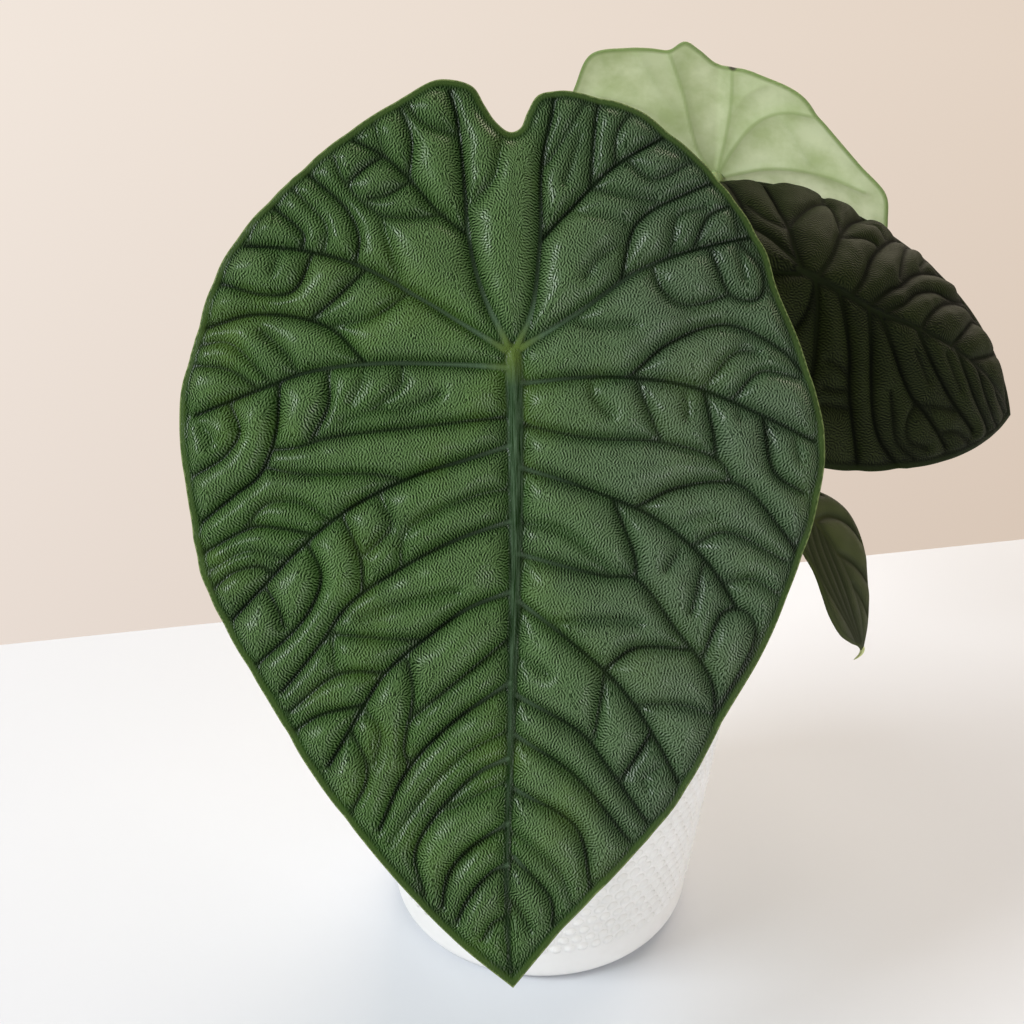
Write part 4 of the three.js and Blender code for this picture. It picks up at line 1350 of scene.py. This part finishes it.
def pot_profile():
    foot = (pot_radius(FOOT_ROUND) - FOOT_ROUND - UNDER_STUDS / 2, FOOT_ROUND)
    low = POT_FLOOR + INSIDE_ROUND
    inside = (pot_radius(low) - POT_WALL - INSIDE_ROUND, low)
    half = POT_WALL / 2
    rim = (pot_radius(POT_HEIGHT) - UNDER_STUDS - half, POT_HEIGHT - half)
    wall = [(pot_radius(h) - UNDER_STUDS, h) for h in np.linspace(12, 104, 12)]
    return [
        (0, 0.6), (38, 0.6), (40, 0), (42.5, 0), *arc(foot, FOOT_ROUND, -90, 0, 9), *wall,
        *arc(rim, half, 0, 180, 9), *arc(inside, INSIDE_ROUND, 0, -90, 6), (0, POT_FLOOR),
    ]


pot_wall = closed_piece("pot_wall", *turned(pot_profile(), 160))

# %% [markdown]
# A Geometry Nodes tree is written with the same words as a material.  Its named inputs are the
# sizes a potter would ask for.  `grown` runs a tree and keeps what it makes as a plain mesh.

# %% Growing a mesh from a node tree
class Grower(Nodes):
    """A Geometry Nodes tree under construction."""

    def __init__(self, name):
        self.group = bpy.data.node_groups.new(name, "GeometryNodeTree")
        super().__init__(self.group)
        self.face = self.group.interface
        self.face.new_socket("Geometry", in_out="OUTPUT", socket_type="NodeSocketGeometry")
        self.entry = self.nodes.new("NodeGroupInput")
        self.exit = self.nodes.new("NodeGroupOutput")

    def size(self, name, kind, value=None):
        """A named input of the modifier, with its usual value."""
        socket = self.face.new_socket(name, in_out="INPUT", socket_type="NodeSocket" + kind)
        if value is not None:
            socket.default_value = value
        return Wire(self, self.entry.outputs[name])

    def spread(self, points, shape, turn, scale, material):
        """Ends the tree: a copy of the object shape on every point."""
        body = self.node("GeometryNodeObjectInfo", {}, {"Object": shape}, output="Geometry")
        copies = {"Points": points, "Instance": body, "Rotation": turn, "Scale": scale}
        made = self.node("GeometryNodeInstanceOnPoints", {}, copies)
        real = self.node("GeometryNodeRealizeInstances", {}, {0: made})
        done = self.node("GeometryNodeSetMaterial", {}, {"Geometry": real, "Material": material})
        self.links.new(done.socket, self.exit.inputs[0])


def grown(name, tree, base):
    """A plain mesh made by a tree from the object base."""
    modifier = base.modifiers.new("grow", "NODES")
    modifier.node_group = tree.group
    depsgraph = bpy.context.evaluated_depsgraph_get()
    mesh = bpy.data.meshes.new_from_object(base.evaluated_get(depsgraph))
    base.modifiers.remove(modifier)
    mesh.name = name
    return in_scene(name, mesh)


# %% The glaze
def glaze_finish():
    f = Finish("white_glaze")
    mottle = f.steps(f.noise(f.place(), 60.0, 3.0), 0.35, 0.65)
    return f.finish(
        Base_Color=f.blend(mottle, tone(236, 235, 232), tone(243, 242, 240)),
        Roughness=0.36 + 0.08 * mottle, Specular_IOR_Level=0.45,
        Normal=f.bump(f.noise(f.place(), 900.0, 2.0), 0.03),
    )


# %% One dome, placed by rule
def stud_dome(sides=10, depth=0.5):
    """A raised-cosine dome with a closed back, its base slightly below z = 0."""
    rows = [(0, -depth), (STUD_RADIUS, -depth)]
    for share in (0.97, 0.66, 0.34):
        rise = 0.5 + 0.5 * math.cos(math.pi * share)
        rows.append((STUD_RADIUS * share, STUD_HEIGHT * rise))
    return closed_piece("stud", *turned([*rows, (0, STUD_HEIGHT)], sides))


def studs_tree(dome, material):
    """Rows of points turned into rings; each gets a dome that faces away from the wall."""
    tree = Grower("studs")
    rows = tree.size("Rows", "Int", 22)
    around = tree.size("Studs round the pot", "Int", 72)
    start = tree.size("Lowest row", "Float", 0.016)
    pitch = tree.size("Row spacing", "Float", 0.0042)
    base = tree.size("Radius at the floor", "Float", (POT_BASE_RADIUS - UNDER_STUDS) * MM)
    slope = tree.size("Slope", "Float", POT_SLOPE)
    cloud = tree.node("GeometryNodePoints", {}, {"Count": rows * around})
    index = tree.node("GeometryNodeInputIndex")
    row = tree.maths("FLOOR", (index + 0.001) / around)
    column = index - row * around
    stagger = tree.maths("MODULO", row, 2.0) * 0.5
    angle = (column + stagger) * (2 * math.pi) / around
    height = start + row * pitch
    radius = base + slope * height
    x, y = (tree.maths(wave, angle) * radius for wave in ("COSINE", "SINE"))
    place = tree.vector(x, y, height)
    placed = tree.node("GeometryNodeSetPosition", {}, {"Geometry": cloud, "Position": place})
    turn = tree.vector(0.0, math.pi / 2 + math.atan(POT_SLOPE), angle)
    widen = tree.vector(1.0, radius / (STUD_RING * MM), 1.0)
    tree.spread(placed, dome, turn, widen, material)
    return tree


white_glaze = glaze_finish()
dome = stud_dome()
seed = in_scene("pot_studs_seed", bpy.data.meshes.new("pot_studs_seed"))
pot_studs = grown("pot_studs", studs_tree(dome, white_glaze), seed)
pot_studs.data.shade_smooth()
for helper in (dome, seed):
    bpy.data.objects.remove(helper)
print("studs:", len(pot_studs.data.polygons), "faces")
hand_over(pot_wall, "cover_pot", white_glaze)
hand_over(pot_studs, "cover_pot")

# %% [markdown]
# ## The nursery pot
# Inside stands the thin brown pot that the plant was raised in.  It is a turned shell with a
# rolled lip and drain holes in its floor.  The holes are cut with a Boolean modifier, which is
# simpler here than building a floor round them.

# %% The nursery pot's shell
NURSERY_BOTTOM, NURSERY_TOP = 6.3, 102
NURSERY_BASE_RADIUS, NURSERY_TOP_RADIUS = 41, 53.5
NURSERY_WALL, NURSERY_FLOOR = 1.2, 1.6
DRAIN_HOLES, DRAIN_CIRCLE, DRAIN_RADIUS = 5, 27, 4


def nursery_radius(height):
    share = (height - NURSERY_BOTTOM) / (NURSERY_TOP - NURSERY_BOTTOM)
    return NURSERY_BASE_RADIUS + (NURSERY_TOP_RADIUS - NURSERY_BASE_RADIUS) * share


def nursery_profile():
    inner = NURSERY_BOTTOM + NURSERY_FLOOR
    under_lip = nursery_radius(99.8)
    lip = [(under_lip, 99.6), (under_lip + 1.7, 99.7)]
    lip += arc((nursery_radius(NURSERY_TOP) + 1.2, NURSERY_TOP - 0.9), 0.9, 0, 90, 4)
    wall = [(nursery_radius(h), h) for h in (12, 30, 55, 80)]
    inside = [(nursery_radius(h) - NURSERY_WALL, h) for h in (101.4, 80, 55, 30, inner + 1)]
    return [
        (0, NURSERY_BOTTOM), (nursery_radius(NURSERY_BOTTOM) - 1.5, NURSERY_BOTTOM),
        (nursery_radius(7.5), 7.8), *wall, *lip, (nursery_radius(NURSERY_TOP) - 0.8, NURSERY_TOP),
        *inside, (nursery_radius(inner) - 2, inner), (0, inner),
    ]


def drilled(piece):
    """Cuts the drain holes."""
    pegs = bmesh.new()
    for angle in 2 * math.pi / DRAIN_HOLES * np.arange(DRAIN_HOLES):
        radius = DRAIN_RADIUS * MM
        peg = bmesh.ops.create_cone(
            pegs, cap_ends=True, segments=20, radius1=radius, radius2=radius, depth=3 * radius
        )
        x, y = DRAIN_CIRCLE * MM * math.cos(angle), DRAIN_CIRCLE * MM * math.sin(angle)
        bmesh.ops.translate(pegs, verts=peg["verts"], vec=(x, y, NURSERY_BOTTOM * MM))
    mesh = bpy.data.meshes.new("pegs")
    pegs.to_mesh(mesh)
    pegs.free()
    helper = in_scene("pegs", mesh)
    drill = piece.modifiers.new("holes", "BOOLEAN")
    drill.object, drill.operation = helper, "DIFFERENCE"
    depsgraph = bpy.context.evaluated_depsgraph_get()
    cut = bpy.data.meshes.new_from_object(piece.evaluated_get(depsgraph))
    piece.modifiers.clear()
    piece.data = cut
    bpy.data.objects.remove(helper)


# %% The nursery pot's finish
def plastic_finish():
    f = Finish("brown_plastic")
    scuff = f.steps(f.noise(f.place(), 300.0, 4.0), 0.4, 0.7)
    return f.finish(
        Base_Color=f.blend(scuff, tone(46, 39, 35), tone(66, 56, 49)),
        Roughness=0.45 + 0.25 * scuff, Normal=f.bump(f.noise(f.place(), 2200.0, 2.0), 0.04),
    )


nursery = closed_piece("nursery_pot_shell", *turned(nursery_profile(), 96))
drilled(nursery)
hand_over(nursery, "nursery_pot", plastic_finish())

# %% [markdown]
# ## The potting mix
# Aroids grow in an open mix of bark chips, peat and white perlite.  The mound is a turned shape
# roughened by noise.  Chips and grains are scattered over it with Geometry Nodes: random points on
# the mound's top, each with a small chip that is turned and sized at random from a fixed seed.

# %% The mound
SOIL_EDGE, SOIL_CROWN = 91, 94.4
SOIL_GAP = 1.6  # from the nursery pot's outside to the soil


def soil_profile():
    bottom = NURSERY_BOTTOM + 1.9
    edge = nursery_radius(SOIL_EDGE) - SOIL_GAP
    top = [(edge * share, SOIL_CROWN - 3.6 * max(0, share - 0.3) ** 1.2)
           for share in np.linspace(0.985, 0.04, 46)]
    side = [(nursery_radius(h) - SOIL_GAP, h) for h in (bottom, 30, 60, 85)]
    return [(0, bottom), *side, *top, (0, SOIL_CROWN)]


def lumpy(points, height, size, above, waves=60):
    """Moves points above a level up and down by a smooth random field."""
    points = np.array(points, float)
    ways = rng.normal(size=(waves, 2)) * (2 * math.pi / size)
    phase = rng.uniform(0, 2 * math.pi, waves)
    lump = np.sin(points[:, :2] @ ways.T + phase).sum(1) / math.sqrt(waves)
    points[:, 2] += np.where(points[:, 2] > above, height * lump.clip(-1.6, 1.6), 0)
    return points


soil_points, soil_faces = turned(soil_profile(), 150)
soil_mound = closed_piece("soil_mound", lumpy(soil_points, 0.45, 9, 86), soil_faces)


# %% Soil, bark and perlite finishes
def soil_finish():
    f = Finish("dark_soil")
    crumb = f.noise(f.place(), 700.0, 5.0, 0.7)
    damp = f.steps(f.noise(f.place(), 140.0, 3.0), 0.35, 0.65)
    light = (f.steps(crumb, 0.35, 0.7) * 0.7 + damp * 0.3).clamped()
    return f.finish(Base_Color=f.blend(light, tone(34, 24, 17), tone(92, 68, 48)),
                    Roughness=0.9, Normal=f.bump(crumb, 1.2))


def grained_finish(name, scale, span, dark, light, roughness, depth_mm, stretch=None, detail=3.0):
    """Two colours and a bump from one noise, whose values vary over span."""
    f = Finish(name)
    grain = f.noise(f.place(stretch), scale, detail)
    return f.finish(Base_Color=f.blend(f.steps(grain, *span), tone(*dark), tone(*light)),
                    Roughness=roughness, Normal=f.bump(grain, depth_mm))


dark_soil = soil_finish()
bark = grained_finish("bark", 300.0, (0.35, 0.65), (72, 47, 31), (136, 98, 66), 0.85, 0.3,
                      stretch=(1, 3, 3))
perlite = grained_finish("perlite", 1500.0, (0.3, 0.6), (190, 184, 172), (236, 232, 222), 0.9, 0.2)


# %% Chips and grains, scattered
def chip(name, size, squash):
    """A lumpy pebble or flake, closed, with a few dozen faces."""
    work = bmesh.new()
    bmesh.ops.create_icosphere(work, subdivisions=1, radius=size * MM)
    for vertex in work.verts:
        vertex.co *= 1 + rng.uniform(-0.22, 0.22)
        vertex.co.z *= squash[1]
        vertex.co.y *= squash[0]
    mesh = bpy.data.meshes.new(name)
    work.to_mesh(mesh)
    work.free()
    return in_scene(name, mesh)


def scatter_tree(name, shape, material, seed, spacing, density, sizes):
    """Copies of shape on the mound's top, clear of the rootstock and the nursery pot."""
    tree = Grower(name)
    surface = tree.size("Surface", "Geometry")
    gap = tree.size("Spacing", "Float", spacing)
    amount = tree.size("Density", "Float", density)
    spot = tree.node("GeometryNodeInputPosition")
    flat = tree.node("ShaderNodeVectorMath", {"operation": "MULTIPLY"}, {0: spot, 1: (1, 1, 0)})
    out = tree.measure("LENGTH", flat)
    facing_up = tree.maths("GREATER_THAN", tree.part(tree.node("GeometryNodeInputNormal"), 2), 0.6)
    on_top = tree.maths("GREATER_THAN", tree.part(spot, 2), 0.085)
    clear_of_stem = tree.maths("GREATER_THAN", out, 0.0185)
    clear_of_wall = tree.maths("LESS_THAN", out, 0.0475)
    chosen = facing_up * on_top * clear_of_stem * clear_of_wall
    points = tree.node(
        "GeometryNodeDistributePointsOnFaces", {"distribute_method": "POISSON"},
        {"Mesh": surface, "Selection": chosen, "Distance Min": gap, "Density Max": amount,
         "Seed": seed},
    )
    turn = tree.node("FunctionNodeRandomValue", {"data_type": "FLOAT_VECTOR"},
                     {0: (-0.5, -0.5, 0.0), 1: (0.5, 0.5, 6.28), "Seed": seed + 1})
    grow = tree.node("FunctionNodeRandomValue", {"data_type": "FLOAT"},
                     {2: sizes[0], 3: sizes[1], "Seed": seed + 2}, output=1)
    tree.spread(points, shape, turn, grow, material)
    return tree


soil_bits = []
for name, size, squash, material, seed, spacing, density, sizes in (
    ("bark_chips", 2.6, (0.6, 0.45), bark, 11, 0.0042, 60000, (0.5, 1.3)),
    ("soil_crumbs", 1.1, (0.9, 0.8), dark_soil, 21, 0.0017, 300000, (0.5, 1.3)),
    ("perlite_grains", 1.3, (0.9, 0.8), perlite, 31, 0.0075, 12000, (0.5, 1.1)),
):
    shape = chip(name + "_shape", size, squash)
    tree = scatter_tree(name, shape, material, seed, spacing, density, sizes)
    soil_bits.append(grown(name, tree, soil_mound))
    bpy.data.objects.remove(shape)
    print(name, len(soil_bits[-1].data.polygons), "faces")
hand_over(soil_mound, "soil", dark_soil)
for bits in soil_bits:
    hand_over(bits, "soil")

# %% [markdown]
# ## The rootstock and its old sheaths
# The plant's short stem is corky and ringed by the scars of shed leaves.  Two papery sheaths of
# such leaves still clasp it.  The stem is a turned profile whose rings are part of the profile;
# a sheath is a curved sheet with a ragged top, closed all round so that it has a real thickness.

# %% The rootstock
STEM_BOTTOM, STEM_TOP, STEM_RADIUS = 70, 104, 13.5
SCAR_SPACING, SCAR_DEPTH = 4.2, 0.45


def rootstock_profile():
    heights = np.linspace(STEM_BOTTOM, STEM_TOP, 60)
    share = (heights - STEM_BOTTOM) / (STEM_TOP - STEM_BOTTOM)
    swell = np.interp(share, [0, 0.22, 0.62, 0.86, 1], [0.55, 0.88, 1.03, 1.01, 0.94])
    radius = STEM_RADIUS * swell
    from_scar = (heights - STEM_BOTTOM) % SCAR_SPACING - SCAR_SPACING / 2
    radius -= SCAR_DEPTH * np.exp(-((from_scar / 0.5) ** 2))
    top = STEM_TOP + 0.05
    return [(0, STEM_BOTTOM), *zip(radius, heights), (9, top), (0, top)]


def rootstock_piece():
    """The turned stem, made slightly uneven round its axis."""
    points, faces = turned(rootstock_profile(), 72)
    points = np.array(points, float)
    angle = np.arctan2(points[:, 1], points[:, 0])
    bulge = 1 + 0.02 * np.sin(3 * angle + points[:, 2] / 3) + 0.012 * np.sin(8 * angle)
    points[:, :2] *= bulge[:, None] * 0.97
    return closed_piece("rootstock_stem", points, faces)


def cork_finish():
    f = Finish("corky_stem")
    cork = f.noise(f.place(), 500.0, 5.0, 0.65)
    ring = f.steps(f.noise(f.place((1, 1, 8)), 60.0), 0.4, 0.6)
    light = (f.steps(cork, 0.35, 0.65) * 0.6 + ring * 0.4).clamped()
    return f.finish(Base_Color=f.blend(light, tone(86, 66, 42), tone(142, 122, 84)),
                    Roughness=0.85, Normal=f.bump(cork, 0.6))


hand_over(rootstock_piece(), "rootstock", cork_finish())

# %% The dry sheaths
SHEATH_FOOT, SHEATH_THICKNESS = 95.3, 0.5
SHEATH_RADIUS = 1.04 * STEM_RADIUS + 1.1


def sheath_points(middle, spread, height, columns, rows):
    """The inner sheet and then the outer one, column by column."""
    points = []
    for offset in (0, SHEATH_THICKNESS):
        for share in np.linspace(-1, 1, columns):
            angle = math.radians(middle + share * spread / 2)
            ragged = 0.05 * math.sin(23 * share) + 0.03 * math.sin(57 * share + 1)
            top = height * (1 - 0.75 * share**2) * (0.97 + ragged * (1 - abs(share)) - 0.03)
            for rise in np.linspace(0, top, rows):
                fray = 0.35 * math.sin(9 * share + rise / 4) * (rise / height)
                out = SHEATH_RADIUS + offset + 0.09 * rise + fray
                points.append((out * math.cos(angle), out * math.sin(angle), SHEATH_FOOT + rise))
    return points


def sheath_piece(name, middle, spread, height, columns=49, rows=25):
    """A thin curved scale with a pointed, ragged top, standing on the soil."""
    block = columns * rows
    faces = []
    for a in range(0, block - rows, rows):
        b = a + rows
        for k in range(rows - 1):
            inner = (a + k, b + k, b + k + 1, a + k + 1)
            faces += [tuple(corner + block for corner in inner), inner[:1] + inner[:0:-1]]
        top_a, top_b = a + rows - 1, b + rows - 1
        faces += [(a, b, b + block, a + block), (top_a, top_a + block, top_b + block, top_b)]
    end = block - rows
    for k in range(rows - 1):
        faces += [(k, k + block, k + 1 + block, k + 1),
                  (end + k, end + k + 1, end + k + 1 + block, end + k + block)]
    return closed_piece(name, sheath_points(middle, spread, height, columns, rows), faces)


dry_sheath = grained_finish("dry_sheath", 900.0, (0.35, 0.65), (112, 84, 52), (176, 144, 98), 0.75,
                            0.25, stretch=(1, 1, 0.12), detail=4.0)
for name, middle, spread, height in (("left", 152, 96, 30), ("front", 262, 80, 21)):
    sheath = sheath_piece("sheath_" + name, middle, spread, height)
    hand_over(sheath, "old_sheath_" + name, dry_sheath)

# %% [markdown]
# ## The setting
# The pot stands near the far edge of a white table, with a warm, pale room beyond it.  Three soft
# lights stand round it: a cool window at the upper left, a warm bright wall behind the plant, and
# a white card low at the front right.  The room itself fills the shadows: behind the table it is
# warm and bright, and on the camera's side it is a dim grey.

# %% The table
EDGE_TURN = math.radians(9.9)  # the table's far edge against the x axis
EDGE_DISTANCE = 166.5
edge_way = np.array([math.cos(EDGE_TURN), math.sin(EDGE_TURN), 0])
edge_back = np.array([-edge_way[1], edge_way[0], 0])
corners = [np.array([0, EDGE_DISTANCE, 0]) + edge_way * along + edge_back * back for along, back in
           ((-1200, 0), (-1200, -1500), (1200, -1500), (1200, 0))]
table = mesh_piece("table", corners, [(0, 1, 2, 3)], smooth=False)
white_table = Finish("white_table").finish(
    Base_Color=tone(217, 220, 226), Roughness=0.5, Specular_IOR_Level=0.2
)
table.data.materials.append(white_table)
table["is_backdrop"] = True

# %% The room's light
world = bpy.data.worlds.new("warm_room")
bpy.context.scene.world = world
world.use_nodes = True
room = Nodes(world.node_tree)
way = room.node("ShaderNodeTexCoord", output="Generated")
rightward, ahead, upward = (room.part(way, axis) for axis in range(3))
to_right = room.steps(rightward, -0.3, 0.3)
wall = room.blend(to_right, tone(243, 232, 222), tone(226, 209, 193))
lower_wall = room.blend(to_right, tone(234, 222, 213), tone(213, 194, 177))
wall = room.blend(room.steps(upward, -0.6, -0.35), lower_wall, wall)
around = room.blend(room.steps(ahead, -0.2, 0.5), tone(100, 100, 103), wall)
around = room.blend(room.steps(upward, 0.1, 0.6), around, tone(150, 146, 143))
background = room.nodes["Background"]
room.plug(background.inputs["Color"], around)
room.plug(background.inputs["Strength"], 1.0)


def soft_light(name, place, size, energy, colour):
    """A square area light at place, in metres, turned towards the plant."""
    light = bpy.data.lights.new(name, "AREA")
    light.shape = "SQUARE"
    light.size, light.energy, light.color = size, energy, colour
    lamp = in_scene(name, light)
    lamp.location = place
    x, y, z = np.array([0, 0, 0.1]) - np.array(place)
    lamp.rotation_euler = (math.acos(-z / math.hypot(x, y, z)), 0, math.atan2(-x, y))


soft_light("window", (-2.0, -0.75, 1.75), 1.2, 62, (0.93, 0.975, 1.0))
soft_light("bright_wall", (0.6, 1.5, 1.1), 1.8, 40, (1.0, 0.86, 0.71))
soft_light("white_card", (0.7, -1.1, 0.3), 0.8, 7.5, (1.0, 0.99, 0.98))

# %% [markdown]
# The camera stands in front, about half a metre from the large leaf, and looks down at 34 degrees
# with a moderately long lens.

# %% The camera
SENSOR_WIDTH, FOCAL_SHARE, LOOKING_DOWN = 36, 2000 / 1024, 34
camera = bpy.data.cameras.new("camera")
camera.sensor_width = SENSOR_WIDTH
camera.lens = SENSOR_WIDTH * FOCAL_SHARE
camera_object = in_scene("camera", camera)
camera_object.location = (-0.0097, -0.502, 0.4897)
camera_object.rotation_euler = (math.radians(90 - LOOKING_DOWN), 0, 0)
bpy.context.scene.camera = camera_object
bpy.context.scene.view_settings.view_transform = "Standard"

# %% [markdown]
# ## Measuring up
# The finished plant must keep to the CAD model's box.

# %% The plant's box
low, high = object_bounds()
